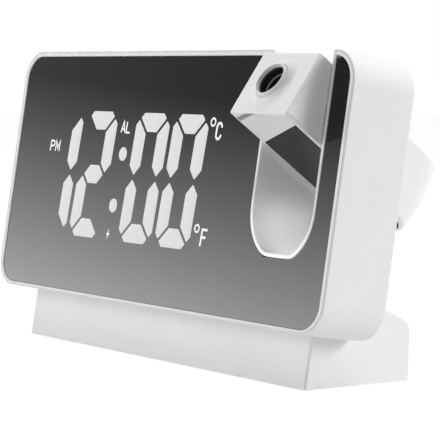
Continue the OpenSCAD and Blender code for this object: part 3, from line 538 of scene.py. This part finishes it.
def case_rows():
    """The case wall's section as rows of side, top, bottom and slot widths and a depth: lip edge, lip,
    shadow groove, bevel, flank, rear rim and back along the inside."""
    def lip(share, y):
        return (LIP_SIDE * share, LIP_TOP * share, LIP_BOTTOM * share, SLOT_WALL * share, y)

    def wall(share, y):
        return (WALL * share, WALL * share, WALL * share, SLOT_WALL * share, y)

    groove, bevel, rim = 0.35, 0.36, 0.5
    pocket_y0 = SNOOZE["y"] - SNOOZE["d"] / 2
    pocket_y1 = SNOOZE["y"] + SNOOZE["d"] / 2
    draft = SNOOZE["draft"]
    rows = [lip(1.0, PANEL_BACK), lip(1.0, 0.12), lip(0.98, 0.03), lip(0.94, 0.0), lip(0.38, 0.0),
            lip(0.35, 0.0), lip(0.34, groove), lip(0.2, groove), lip(0.19, 0.02)]
    rows += [lip(0.18 * (1 - math.sin(a)), bevel * (1 - math.cos(a)))
             for a in np.radians(np.linspace(0, 90, 7))]
    rows += [wall(0.0, y) for y in (0.95, 3.0, pocket_y0 - draft, pocket_y0, PIVOT_Y, pocket_y1,
                                    pocket_y1 + draft, 20.0, 22.9)]
    rows += [wall(rim / WALL * (1 - math.cos(a)), CASE_D - rim * (1 - math.sin(a)))
             for a in np.radians(np.linspace(0, 90, 6))]
    rows += [wall(0.35, CASE_D), wall(0.96, CASE_D), wall(1.0, CASE_D - 0.1), wall(1.0, 12.0),
             wall(1.0, 2.0)]
    return rows


def case_skin():
    """The front case: its section's rows carried round its outline. The snooze bar's pocket is sunk
    into the top by lowering the points inside a rectangle."""
    points = []
    for side, top, bottom, slot, y in case_rows():
        loop = case_loop(side, top, bottom, slot, y)
        x, z = loop[:, 0], loop[:, 1]
        if side == 0 and abs(y - SNOOZE["y"]) < SNOOZE["d"] / 2 + HAIR:
            inside = (abs(x - SNOOZE["x"]) < SNOOZE["w"] / 2 + HAIR) & (z > CASE_H - HAIR)
            z = np.where(inside, z - SNOOZE["pocket"], z)
        points.append(in_case(x, y, z))
    piece("case_skin", np.array(points), "clock", "white_shell",
          ring=True, replaced=["front_case"])


# --- Arm ---

def arm_section(edge, wall_in, recess):
    """The arm's cross-section as a loop of share across, inset and place in y: the back face, the
    right side with the fine seam of the front cover, the mirror face with the cover's recess, and
    the left side."""
    half = ARM_T / 2
    face = -half
    seam = 0.22
    quarter = np.radians(np.linspace(0, 90, 6))
    bend_in = edge * (1 - np.sin(quarter))
    bend_y = edge * (1 - np.cos(quarter))
    across = np.linspace(-1, 1, 9)
    back = [(share, edge, half) for share in across]
    side = [(1, i, half - b) for i, b in zip(bend_in[1:], bend_y[1:])]
    side += [(1, 0, y) for y in np.linspace(half - edge - 0.3, face + edge + 1.4, 7)]
    side += [(1, 0, face + 0.95), (1, seam, face + 0.92), (1, seam, face + 0.72), (1, 0, face + 0.69)]
    side += [(1, 0, face + 0.5), (1, 0.06, face + 0.32), (1, 0.42, face + 0.02), (1, 0.5, face)]
    rim = [(1, ARM_WALL - 0.02, face), (1, ARM_WALL, face + 0.03), (1, ARM_WALL, face + recess)]
    floor = [(share, ARM_WALL, face + recess) for share in across[-2:0:-1]]
    right = np.array(side + rim)
    left = right[::-1] * (-1, 1, 1)
    loop = np.concatenate([np.array(back), right, np.array(floor), left])
    return loop[:, 0], loop[:, 1] + wall_in, loop[:, 2] - np.sign(loop[:, 2]) * wall_in


def arm_station(section, s):
    """A straight station of the arm: x is the share of the half width less the inset."""
    share, inset, y = section
    return share * (ARM_HALF - inset), y, np.full(len(y), float(s))


def tail_station(section, turn):
    """A station of the tail, from its side at no turn to its middle line at a quarter turn. The tail
    is round about the pivot, so s is minus the root of the radius squared less y squared."""
    share, inset, y = section
    across = (ARM_HALF - inset) * math.cos(turn)
    radius = ring_profile(across, ARM_HALF - inset, ARM_TAIL - inset)
    return share * across, y, -np.sqrt(radius ** 2 - y ** 2)


def arm_skin():
    """The arm's housing as one closed wall: from the tail's end along the outside to the lens end,
    round its edge, over the end face to a round flare, down the bore and back along the inside."""
    thin = 0.03
    outside = arm_section(ARM_EDGE, 0.0, ARM_COVER_T)
    rimless = arm_section(ARM_EDGE, 0.0, thin)
    inside = arm_section(0.3, ARM_WALL, thin)
    turns = np.linspace(math.pi / 2, 0, 30)
    rows = [tail_station(outside, turn) for turn in turns]
    rows += [arm_station(outside, s) for s in (-24.5, -20, -10, 0, 10, 18, ARM_COVER_END - 0.02)]
    rows += [arm_station(rimless, s) for s in (ARM_COVER_END, ARM_REACH - 0.8)]
    share, inset, y = rimless
    for a in np.radians(np.linspace(0, 90, 6)):
        taken = ARM_END_EDGE * (1 - math.cos(a))
        kept = 1 - taken / ARM_EDGE
        x_out = share * (ARM_HALF - taken - inset * kept)
        y_out = np.sign(y) * (ARM_T / 2 - taken - (ARM_T / 2 - abs(y)) * kept)
        rows.append((x_out, y_out, np.full(len(y), ARM_REACH - ARM_END_EDGE * (1 - math.sin(a)))))
    x_edge, y_edge, _ = rows[-1]
    angle = np.arctan2(y_edge, x_edge)
    radius = np.hypot(x_edge, y_edge)

    def round_row(r, lift):
        return r * np.cos(angle), r * np.sin(angle), np.full(len(y), ARM_REACH + lift)

    for share_in in (0.04, 0.5, 0.9):
        rows.append(round_row(radius + (FLARE_R + 0.2 - radius) * share_in, 0.0))
    for r in np.linspace(FLARE_R, FLARE_TOP_R, 12):
        rows.append(round_row(r, FLARE_H * (1 - (r - FLARE_TOP_R) / (FLARE_R - FLARE_TOP_R)) ** 2))
    for r, lift in ((6.5, FLARE_H), (6.2, FLARE_H), (6.12, FLARE_H - 0.03), (ARM_BORE_R, FLARE_H - 0.1),
                    (ARM_BORE_R, -ARM_END_WALL)):
        rows.append(round_row(r, lift))
    rows += [arm_station(inside, s) for s in (ARM_REACH - ARM_END_WALL, 10, 0, -10, -24.0)]
    rows += [tail_station(inside, turn) for turn in turns[::-1]]
    piece("arm_housing_skin", np.array([in_arm(*row) for row in rows]), "projector_arm",
          "white_shell", replaced=["arm_housing"])


def turned(name, profile, body, finish, replaced=()):
    """A turned piece: a closed profile of radius and height, carried once round the lens axis."""
    a = np.linspace(0, 2 * math.pi, 96, endpoint=False)[:, None]
    r, height = np.array(profile).T[:, None]
    piece(name, in_arm(r * np.cos(a), r * np.sin(a), height), body, finish,
          ring=True, replaced=replaced)


def rounded_path(corners, radii, count=6):
    """A closed path through corners, each rounded by its own radius with a short arc."""
    corners = np.asarray(corners, float)
    path = []
    for before, corner, after, r in zip(np.roll(corners, 1, 0), corners, np.roll(corners, -1, 0), radii):
        if r <= 0:
            path.append(corner[None])
            continue
        u, v = before - corner, after - corner
        u, v = u / np.linalg.norm(u), v / np.linalg.norm(v)
        half = math.acos(float(np.clip(u @ v, -1, 1))) / 2
        centre = corner + (u + v) / np.linalg.norm(u + v) * r / math.sin(half)
        a0 = corner + u * r / math.tan(half) - centre
        a1 = corner + v * r / math.tan(half) - centre
        sweep = math.atan2(a0[0] * a1[1] - a0[1] * a1[0], float(a0 @ a1))
        t = np.linspace(0, sweep, count + 1)[:, None]
        path.append(centre + a0 * np.cos(t) + np.array([-a0[1], a0[0]]) * np.sin(t))
    return np.concatenate(path)


def focus_ring_skin():
    """The focus ring: flange and neck inside the arm, a slightly conical side, and a rounded crest."""
    rim = ARM_REACH + 2.3
    back = ARM_REACH - 2.85
    bore, neck, flange = 4.98, 6.0, 7.6
    corners = [(bore, back), (flange, back), (flange, back + 1.2), (neck, back + 1.2),
               (neck, ARM_REACH + 0.95), (neck - 0.05, ARM_REACH + 1.15), (neck - 0.4, rim),
               (bore + 0.27, rim), (bore, rim - 1.0)]
    turned("focus_ring_skin", rounded_path(corners, [0, 0, 0, 0, 0.1, 0.1, 0.35, 0.12, 0.3]),
           "focus_ring", "white_control", replaced=["focus_ring"])


def ring_bore():
    """The black lining of the focus ring's bore, in which the lens cell slides. Its finish darkens deeper in
    as painted shade.
    """
    front = ARM_REACH + 1.25
    back = ARM_REACH - 2.6
    outer, inner = 4.99, 4.85
    corners = [(outer, back), (outer, front), (outer - 0.06, front), (inner, front - 0.1), (inner, back)]
    turned("focus_ring_bore_lining", corners, "focus_ring", "bore_black_and_shade")


def lens_retainer():
    """The flat ring that holds the front lens in its cell, with a rounded inner lip."""
    seat = 22.0
    outer, inner = 4.78, 3.75
    corners = [(outer, seat - 0.02), (outer, seat + 0.35), (4.3, seat + 0.55), (inner, seat + 0.25),
               (inner, seat - 0.02)]
    turned("lens_retaining_ring", rounded_path(corners, [0, 0.1, 0.15, 0.1, 0]),
           "lens_cell", "blackened_ring")


def corner_painted_shade():
    """A small grey patch of painted shade that crosses the left front corner of the head's underside."""
    outline = np.array([(-13.0, 19.2), (-12.9, 20.9), (-6.4, 23.2), (-1.2, 23.2), (-4.5, 22.3)])
    face = -ARM_T / 2
    loops = [in_arm(outline[:, 0], y, outline[:, 1]) for y in (face + 0.15, face - 0.02)]
    piece("head_corner_painted_shade", np.array(loops), "projector_arm", "painted_shade_grey",
          caps=(True, True), crease=20)


def tail_painted_shade():
    """A black patch of painted shade in the right corner of the mirror face's foot, where the tail meets the
    case: a band between the tail's curve, taken in by its margin, and the same curve moved up by its height
    and a little left."""
    across = np.linspace(3.0, 11.2, 14)
    face = -ARM_T / 2
    margin, height, shift = 1.15, 4.5, 1.0
    radius = ring_profile(across, ARM_HALF - margin, ARM_TAIL - margin)
    foot = -np.sqrt(radius ** 2 - face ** 2)
    x = np.concatenate([across, across[::-1] - shift])
    s = np.concatenate([foot, foot[::-1] + height])
    loops = [in_arm(x, y, s) for y in (face + 0.1, face - 0.015)]
    piece("tail_painted_shade", np.array(loops), "projector_arm", "painted_shade_black",
          caps=(True, True), crease=20)


# --- Stand ---

def stand_profile():
    """The stand's side outline in the world's y and z, open at the foot: front, seat, rest and back.
    The front leans as the case does, up to the seat's line through the case's foot."""
    front = -STAND_D / 2
    slope = -DEEP[2] / DEEP[1]
    foot = CASE_ORIGIN[1:]
    seat_y = (front + (foot[1] + foot[0] * slope - STAND_FLOOR) * slope) / (1 + slope ** 2)
    heel = foot + CASE_D * DEEP[1:]
    rest = heel + STAND_REST_H * UP[1:]
    return np.array([(front, STAND_FLOOR), (seat_y, foot[1] - (seat_y - foot[0]) * slope), heel, rest,
                     (STAND_D / 2 + STAND_BACK_FLARE, STAND_BACK_H), (STAND_D / 2, STAND_FLOOR)])


def drawn_in(corners, wall):
    """The corners of a polyline moved by the wall to its right hand, each along the mitre of its sides,
    and its two ends level along the foot."""
    ahead = np.diff(corners, axis=0)
    ahead /= np.linalg.norm(ahead, axis=1)[:, None]
    normal = np.stack([ahead[:, 1], -ahead[:, 0]], -1)
    before, after = normal[:-1], normal[1:]
    mitre = (before + after) / (1 + np.einsum("ij,ij->i", before, after))[:, None]
    foot = normal[[0, -1]] / abs(normal[[0, -1], 0])[:, None]
    moves = np.vstack([foot[:1] * (1, 0), mitre, foot[1:] * (1, 0)])
    return corners + wall * moves


def open_path(corners, radii):
    """A polyline from its first to its last corner, rounded at the corners between. Straight stretches
    are split into gaps of 3 to 6."""
    gap = 3.0
    loop = rounded_path(corners, radii, 8)
    spans = np.linalg.norm(np.diff(loop, axis=0), axis=1)
    parts = [loop[:1]]
    for a, b, span in zip(loop[:-1], loop[1:], spans):
        t = np.linspace(0, 1, max(int(span / gap), 1) + 1)[1:, None]
        parts.append(a + (b - a) * t)
    return np.concatenate(parts)


def stand_stations(path, half, corner):
    """Rows of a path carried along x: two rows that fold down to the foot line and close the end with
    a flat cheek, then rows whose y is squeezed by the corner's rounding, r less r times its cosine."""
    turn = np.radians(np.linspace(90, 0, 8))
    end_x = half - corner + corner * np.sin(turn)
    end_squeeze = corner * (1 - np.cos(turn))
    between = np.linspace(-half + corner + 0.3, half - corner - 0.3, 26)
    squeeze = np.concatenate([end_squeeze, 0 * between, end_squeeze[::-1]])
    y, z = path.T
    side = np.clip(y / 15.0, -1, 1)
    rows = [np.stack([y - taken * side, z], -1) for taken in squeeze]
    end_y = rows[0][:, 0]
    folded = np.stack([np.clip(end_y, end_y[0], end_y[-1]), np.full(len(z), z[0])], -1)
    eased = np.where((z > z[0] + 1)[:, None], 0.96 * rows[0] + 0.04 * folded, rows[0])
    rows = [folded, eased, *rows, eased, folded]
    x = np.concatenate([[-half, -half], -end_x, between, end_x[::-1], [half, half]])
    return np.stack([np.column_stack([np.full(len(z), place), row]) for place, row in zip(x, rows)])


def stand_skin():
    """The stand's shell, open below. Its inside is its rounded outline drawn in by the wall, and both
    are carried along x. Each row holds the outside and then the inside backwards, and the first and
    last rows fold the two together."""
    corners = stand_profile()
    half = STAND_W / 2
    outside = open_path(corners, [0, 0.4, 0.3, 0.6, 5.0, 0])
    inside = open_path(drawn_in(corners, STAND_WALL), [0, 0.05, 2.5, 0.05, 2.8, 0])
    outer = stand_stations(outside, half, 0.8)
    inner = stand_stations(resample(inside, len(outside)), half - STAND_WALL, 0.1)
    rows = np.concatenate([outer, inner[:, ::-1]], axis=1)
    seam = (outer[[0, -1]] + inner[[0, -1]]) / 2
    seam = np.concatenate([seam, seam[:, ::-1]], axis=1)
    rows = np.concatenate([seam[:1], rows, seam[1:]])
    piece("stand_skin", rows * MM, "clock", "white_shell", replaced=["stand_shell"])


def resample(path, count):
    """The same path with a given number of points, evenly along its length."""
    along = np.concatenate([[0], np.cumsum(np.linalg.norm(np.diff(path, axis=0), axis=1))])
    even = np.linspace(0, along[-1], count)
    return np.stack([np.interp(even, along, path[:, k]) for k in range(2)], -1)


# --- Buttons and snooze bar ---

def span(node, axis):
    """How far a CAD node reaches along an axis, in millimetres from the case's origin."""
    mesh = frame["nodes"][node].data
    points = np.empty(len(mesh.vertices) * 3)
    mesh.vertices.foreach_get("co", points)
    along = (points.reshape(-1, 3) / MM - CASE_ORIGIN) @ axis
    return along.min(), along.max()


def button_marks():
    """Plain marks for the five buttons, each a few strokes in the button's own x and z."""
    return {
        "mode": [[(-1.1, z), (1.1, z)] for z in (-0.8, 0.0, 0.8)],
        "set": [bow(0, 0, 1.15, 1.15, 0, 345, 24), [(0, 0.75), (0, 0), (0.6, -0.3)]],
        "plus": [[(-1.2, 0), (1.2, 0)], [(0, -1.2), (0, 1.2)]],
        "minus": [[(-1.2, 0), (1.2, 0)]],
        "lamp": [bow(0, 0, 0.7, 0.7, 0, 345, 20)] + [
            [(1.05 * math.cos(a), 1.05 * math.sin(a)), (1.6 * math.cos(a), 1.6 * math.sin(a))]
            for a in np.radians([0, 60, 120, 180, 240, 300])],
    }


def button_skins():
    """The rear buttons: each a turned cap with a flange inside the cover and a crown that dips a
    little, with its mark."""
    flange_r, cap_r, dip, mark_dip = 4.0, 3.0, 0.1, 0.085
    cover = CASE_D - WALL - 0.15
    for name, strokes in button_marks().items():
        node = f"{name}_button"
        x = sum(span(node, RIGHT)) / 2
        z = sum(span(node, UP)) / 2
        foot, crown = span(node, DEEP)
        corners = [(0.0, foot), (flange_r, foot), (flange_r, cover), (cap_r, cover), (cap_r, crown),
                   (2.2, crown), (1.4, crown - 0.08), (0.0, crown - dip)]
        button_cap(node, rounded_path(corners, [0, 0.2, 0.1, 0.1, 0.45, 0.4, 0.4, 0], 5), x, z)

        def crown_print(a, over, b, x=x, z=z, crown=crown):
            return in_case(x - a, crown - mark_dip + over, z + b)

        for number, stroke in enumerate(strokes):
            ribbon(f"{node}_mark_{number}", stroke, 0.36, len(stroke) > 15, crown_print, node,
                   "print_grey")


def button_cap(node, profile, x, z):
    """A button's turned cap: its profile starts and ends on its axis, at the two poles."""
    a = np.linspace(0, 2 * math.pi, 64, endpoint=False)
    r, depth = profile[:, :1], profile[:, 1:]
    points = in_case(x + r * np.cos(a), depth, z + r * np.sin(a))
    piece(f"{node}_cap", points, node, "white_control", replaced=[node])


def bar_loop(w, d, corner):
    """A rectangle with rounded corners as a loop of x and y round its middle."""
    w, d = w / 2 - corner, d / 2 - corner
    parts = [arc(sx * w, sy * d, corner, start, start + 90, 8)
             for sx, sy, start in ((1, 1, 0), (-1, 1, 90), (-1, -1, 180), (1, -1, 270))]
    return np.concatenate([np.vstack([part, 2 * part[-1] - part[-2]]) for part in parts])


def snooze_bar_skin():
    """The snooze bar: plunger, flange and bar as loops from foot to top, its upper edge rounded."""
    foot, top = span("snooze_bar", UP)
    x0, x1 = span("snooze_bar", RIGHT)
    y0, y1 = span("snooze_bar", DEEP)
    wide, deep = x1 - x0, y1 - y0
    lip, edge, under, flange_under = 1.4, 0.35, 2.15, 3.0
    corner = 0.8
    outline = bar_loop(wide, deep, corner)
    turn = np.arctan2(outline[:, 1] / deep, outline[:, 0] / wide)
    plunger = 1.5 * np.stack([np.cos(turn), np.sin(turn)], -1)
    flange = bar_loop(wide, deep, 0.4)
    rows = [(plunger, foot), (plunger, top - flange_under), (flange, top - flange_under),
            (flange, top - under), (bar_loop(wide - 2 * lip, deep, corner), top - under)]
    for a in np.radians(np.linspace(2.5, 90, 8)):
        inset = edge * (1 - math.cos(a))
        rows.append((bar_loop(wide - 2 * lip - 2 * inset, deep - 2 * inset, corner),
                     top - edge * (1 - math.sin(a))))
    x, y = (x0 + x1) / 2, (y0 + y1) / 2
    points = np.array([in_case(x + loop[:, 0], y + loop[:, 1], z) for loop, z in rows])
    piece("snooze_bar_cap", points, "snooze_bar", "white_control",
          caps=(True, True), replaced=["snooze_bar"])


# --- Legends on the panel ---

def panel_print(x, over, z):
    """Places on the panel's face, by a distance over it."""
    return in_case(x, PANEL_Y - over, z)


def ribbon(name, path, width, closed=False, place=panel_print, body="clock", finish="legend_ink"):
    """A flat stroke: the path's points moved to both sides by half the width along the mitre of their
    two directions, with a thickness that starts just inside the surface."""
    path = np.asarray(path, float)
    path = path[np.linalg.norm(path - np.roll(path, 1, 0), axis=1) > HAIR]
    ahead = np.roll(path, -1, 0) - path
    behind = path - np.roll(path, 1, 0)
    if not closed:
        ahead[-1] = behind[-1]
        behind[0] = ahead[0]
    ahead /= np.linalg.norm(ahead, axis=1)[:, None]
    behind /= np.linalg.norm(behind, axis=1)[:, None]
    mitre = ahead + behind
    mitre /= np.linalg.norm(mitre, axis=1)[:, None]
    stretch = 1 / np.maximum(np.einsum("ij,ij->i", mitre, ahead), 0.4)
    normal = np.stack([-mitre[:, 1], mitre[:, 0]], -1) * (width / 2 * stretch)[:, None]
    left, right = path + normal, path - normal
    edges = ((left, PRINT_OVER), (right, PRINT_OVER), (right, PRINT_UNDER), (left, PRINT_UNDER))
    loops = np.stack([place(side[:, 0], over, side[:, 1]) for side, over in edges], 1)
    piece(name, loops, body, finish, ring=closed, caps=(not closed, not closed), crease=20)


def bow(cx, cz, rx, rz, start, end, count):
    """Points of an elliptic arc between two angles in degrees."""
    a = np.radians(np.linspace(start, end, count))
    return np.stack([cx + rx * np.cos(a), cz + rz * np.sin(a)], -1)


def letter_strokes():
    """Strokes of the few letters used, each in a box of width and height 1."""
    bowl = bow(0.55, 0.75, 0.42, 0.25, 90, -90, 9)
    curve = np.vstack([bow(0.5, 0.72, 0.5, 0.28, 0, 180, 12), bow(0.5, 0.28, 0.5, 0.28, 180, 360, 12)])
    return {
        "P": [np.vstack([[(0, 0), (0, 1), (0.55, 1)], bowl, [(0, 0.5)]])],
        "M": [[(0, 0), (0, 1), (0.5, 0.3), (1, 1), (1, 0)]],
        "A": [[(0, 0), (0.5, 1), (1, 0)], [(0.2, 0.3), (0.8, 0.3)]],
        "L": [[(0, 1), (0, 0), (1, 0)]],
        "C": [curve],
        "F": [[(1, 1), (0, 1), (0, 0)], [(0, 0.54), (0.85, 0.54)]],
    }


def legend(name, letters, x0, z0, w, h, gap, stroke):
    """A short legend from its left foot: letters of one size side by side, leaning with the digits."""
    shapes = letter_strokes()
    lean = math.tan(math.radians(DIGIT["slant"]))
    for place, letter in enumerate(letters):
        for number, path in enumerate(shapes[letter]):
            path = np.array(path)
            left = x0 + place * (w + gap) + stroke / 2
            x = left + path[:, 0] * (w - stroke)
            z = z0 + stroke / 2 + path[:, 1] * (h - stroke)
            points = np.stack([x + (z - z0) * lean, z], -1)
            ribbon(f"{name}_{letter.lower()}_{number}", points, stroke)


def degree(name, cx, cz, r):
    """A degree sign: a small ring."""
    stroke = 0.6
    ribbon(name, bow(cx, cz, r - stroke / 2, r - stroke / 2, 0, 345, 24), stroke, closed=True)


def bolt(x0, z0, w, h):
    """The charging mark: a small zigzag outline in a box, closed front and back."""
    outline = np.array([(0.72, 1), (0.1, 0.43), (0.46, 0.43), (0.26, 0), (0.9, 0.6), (0.54, 0.6)])
    x, z = (outline * (w, h) + (x0, z0)).T
    loops = np.stack([panel_print(x, over, z) for over in (PRINT_OVER, PRINT_UNDER)])
    piece("legend_bolt", loops, "clock", "legend_ink", caps=(True, True), crease=20)


def segment_corners():
    """The corners of the seven segments of an upright digit, from its left foot: the top one, the
    middle one and a side one, and the others as these turned over."""
    w, h, stroke, gap, cut = (DIGIT[size] for size in ("w", "h", "stroke", "gap", "cut"))
    tip = (cut - gap) / 2
    top = np.array([(cut, h), (w - cut, h), (w - cut + tip, h - tip), (w - stroke - gap, h - stroke),
                    (stroke + gap, h - stroke), (cut - tip, h - tip)])
    middle = np.array([(stroke / 2 + gap, h / 2), (stroke + gap, (h + stroke) / 2),
                       (w - stroke - gap, (h + stroke) / 2), (w - stroke / 2 - gap, h / 2),
                       (w - stroke - gap, (h - stroke) / 2), (stroke + gap, (h - stroke) / 2)])
    side = np.array([(0, h - cut), (tip, h - cut + tip), (stroke, h - stroke - gap),
                     (stroke, (h + stroke) / 2 + gap), (stroke / 2, h / 2 + gap),
                     (0, (h + stroke) / 2 + gap)])
    over_x = side * (-1, 1) + (w, 0)
    return {"a": top, "b": over_x, "c": over_x * (1, -1) + (0, h), "d": top * (1, -1) + (0, h),
            "e": side * (1, -1) + (0, h), "f": side, "g": middle}


def lit_shape(name, outline):
    """A lit window: its outline from behind the panel's face to just before it, with a fine bevel."""
    middle = outline.mean(0)
    points = []
    for size, over in ((1.0, -0.4), (1.0, 0.0), (1.0, 0.03), (0.985, 0.045)):
        loop = middle + size * (outline - middle)
        points.append(panel_print(loop[:, 0], over, loop[:, 1]))
    piece(name, np.array(points), "clock", "digit_light", caps=(True, True),
          replaced=["display_segments"], crease=25)


def digits():
    """The time: four slanted digits of separate segments, and the colon's two dots."""
    lean = math.tan(math.radians(DIGIT["slant"]))
    corners = segment_corners()
    shown = {"tens_of_hours": "bc", "hours": "abged", "tens_of_minutes": "abcdef", "minutes": "abcdef"}
    for (name, lit), x in zip(shown.items(), DIGIT["x"]):
        for letter in lit:
            outline = rounded_path(corners[letter], [0.4] * 6, 4)
            outline = np.stack([x + outline[:, 0] + outline[:, 1] * lean, DIGIT["z"] + outline[:, 1]], -1)
            lit_shape(f"{name}_segment_{letter}", outline)
    x, z, r = -23.5, 40.6, 2.35
    for name, side in (("upper", 1), ("lower", -1)):
        lit_shape(f"colon_{name}", bow(x + 0.83 * side, z + 8.75 * side, r, r, 0, 350, 36))


def display_film():
    """The mirror film over the digits' windows, a hair before the panel."""
    x, z = -22.0, 43.0
    outline = bar_loop(118.0, 60.0, 2.0) + (x, z)
    loops = [panel_print(outline[:, 0], over, outline[:, 1]) for over in (-0.05, 0.012)]
    piece("display_film", np.array(loops), "clock", "mirror_face",
          caps=(True, True), crease=20)


def legends():
    """The small signs beside the digits: letters with left foot, size, gap and stroke, degree signs
    with middle and radius, and the bolt with left foot and size."""
    legend("legend_half_day", "PM", -69.7, 48.6, 3.1, 4.2, 0.3, 0.62)
    legend("legend_alarm", "AL", -26.0, 56.3, 2.85, 4.3, 0.2, 0.64)
    degree("legend_degree_upper", 26.4, 61.3, 1.5)
    legend("legend_celsius", "C", 28.15, 55.6, 3.3, 5.9, 0.0, 0.82)
    degree("legend_degree_lower", 25.3, 27.4, 1.45)
    legend("legend_fahrenheit", "F", 27.6, 21.5, 3.5, 6.1, 0.0, 0.8)
    bolt(-26.4, 20.2, 2.5, 3.8)


# --- Room, light and camera ---

def new_node(tree, kind, **inputs):
    """A new node with some of its inputs set."""
    made = tree.nodes.new(kind)
    for socket, value in inputs.items():
        made.inputs[socket].default_value = value
    return made


def floor():
    """A plain pale floor a hair under the feet. The camera sees most of it as white, and the rest keeps
    the object's shadow. What it throws back on the object fades towards the right."""
    below, half, count = 0.05 * MM, 4.0, 9
    fade_from, fade_to, bright, dull = 0.06, 0.16, 0.95, 0.65
    along = np.linspace(-half, half, count)
    u, v = np.meshgrid(along, along, indexing="ij")
    mesh = bpy.data.meshes.new("floor")
    index = np.arange(count ** 2).reshape(count, count)
    quads = np.stack([index[:-1, :-1], index[1:, :-1], index[1:, 1:], index[:-1, 1:]], -1).reshape(-1, 4)
    mesh.from_pydata(np.stack([u, v, 0 * u - below], -1).reshape(-1, 3).tolist(), [], quads.tolist())
    made = bpy.data.objects.new("floor", mesh)
    bpy.context.scene.collection.objects.link(made)
    material = bpy.data.materials.new("floor_white")
    material.use_nodes = True
    tree = material.node_tree
    tree.nodes.clear()
    split = tree.nodes.new("ShaderNodeSeparateXYZ")
    tree.links.new(tree.nodes.new("ShaderNodeTexCoord").outputs["Object"], split.inputs[0])
    matt = tree.nodes.new("ShaderNodeBsdfDiffuse")
    fade = map_range(tree, split.outputs["X"], fade_from, fade_to, bright, dull)
    tree.links.new(fade, matt.inputs["Color"])
    shown = new_node(tree, "ShaderNodeEmission", Color=WHITE, Strength=1.07)
    show(tree, matt, shown, 0.9, "ShaderNodeOutputMaterial")
    mesh.materials.append(material)


def world(level):
    """An even white room, seen as white and lighting at its own level."""
    made = bpy.data.worlds.new("room")
    bpy.context.scene.world = made
    made.use_nodes = True
    tree = made.node_tree
    tree.nodes.clear()
    light = new_node(tree, "ShaderNodeBackground", Color=WHITE, Strength=level)
    shown = new_node(tree, "ShaderNodeBackground", Color=WHITE)
    show(tree, light, shown, 1.0, "ShaderNodeOutputWorld")


def show(tree, lit, shown, share, output):
    """Sends two shaders to the output: the shown one, by its share, for camera, glossy and
    transmission rays, and the lit one for the rest and for all other rays."""
    path = tree.nodes.new("ShaderNodeLightPath")
    value = path.outputs["Is Camera Ray"]
    for ray in ("Is Glossy Ray", "Is Transmission Ray"):
        either = tree.nodes.new("ShaderNodeMath")
        either.operation = "MAXIMUM"
        tree.links.new(value, either.inputs[0])
        tree.links.new(path.outputs[ray], either.inputs[1])
        value = either.outputs[0]
    mix = tree.nodes.new("ShaderNodeMixShader")
    tree.links.new(map_range(tree, value, 0.0, 1.0, 0.0, share), mix.inputs["Fac"])
    tree.links.new(lit.outputs[0], mix.inputs[1])
    tree.links.new(shown.outputs[0], mix.inputs[2])
    tree.links.new(mix.outputs[0], tree.nodes.new(output).inputs["Surface"])


def posed(place, right, top, back):
    """The matrix of a lamp or camera at a place in metres, by its three axes."""
    return Matrix([[right[i], top[i], back[i], place[i]] for i in range(3)] + [[0, 0, 0, 1]])


def aim(name, data, place, target, power):
    """Puts a lamp at a place, facing its target, both in metres. Nothing shows the lamp itself."""
    data.energy = power
    made = bpy.data.objects.new(name, data)
    bpy.context.scene.collection.objects.link(made)
    place = np.array(place, float)
    back = (place - target) / np.linalg.norm(place - target)
    across = np.cross((0, 0, 1), back)
    across /= np.linalg.norm(across)
    made.matrix_world = posed(place, across, np.cross(back, across), back)
    made.visible_camera = False
    made.visible_glossy = False


def lamp(name, place, target, size, power):
    """A square soft box."""
    data = bpy.data.lights.new(name, "AREA")
    data.size = size
    aim(name, data, place, target, power)


def spot(name, place, target, reach, power):
    """A narrow soft spot that covers a reach round its target."""
    data = bpy.data.lights.new(name, "SPOT")
    data.shadow_soft_size = 6 * MM
    data.spot_size = 2 * math.atan(reach / np.linalg.norm(np.array(place) - target))
    data.spot_blend = 0.8
    aim(name, data, place, target, power)


def camera():
    """The view: to the right of the clock and a little above its middle, with a long lens."""
    yaw, pitch, roll = 0.9405, -0.0648, 0.0127
    place = np.array([538.94, -387.08, 90.71]) * MM
    ahead = np.array([-math.sin(yaw) * math.cos(pitch), math.cos(yaw) * math.cos(pitch), math.sin(pitch)])
    level = np.array([math.cos(yaw), math.sin(yaw), 0.0])
    above = np.cross(level, ahead)
    right = math.cos(roll) * level + math.sin(roll) * above
    top = -math.sin(roll) * level + math.cos(roll) * above
    data = bpy.data.cameras.new("view")
    data.sensor_width = 36.0
    data.lens = 164.0
    data.shift_x = -0.0042
    data.shift_y = -0.0163
    data.clip_start = 0.01
    made = bpy.data.objects.new("view", data)
    bpy.context.scene.collection.objects.link(made)
    made.matrix_world = posed(place, right, top, -ahead)
    bpy.context.scene.camera = made


# --- Making ---

bpy.context.scene.view_settings.view_transform = "Standard"
dress_frame()
case_skin()
arm_skin()
focus_ring_skin()
ring_bore()
lens_retainer()
corner_painted_shade()
tail_painted_shade()
stand_skin()
button_skins()
snooze_bar_skin()
display_film()
digits()
legends()
floor()
world(0.16)
MIDDLE = (0, 0, 0.05)
SLOT_FOOT = in_case(54.5, 10.0, 24.0)
lamp("lamp_above", (0.1, 0.2, 1.5), MIDDLE, 1.2, 12.0)
lamp("lamp_front_left", (-0.95, -1.2, 0.55), MIDDLE, 1.0, 12.8)
lamp("lamp_back_right", (1.2, 1.08, 0.6), MIDDLE, 0.7, 17.2)
spot("lamp_slot", (0.45, -0.42, 0.1), SLOT_FOOT, 0.017, 7.2)
camera()
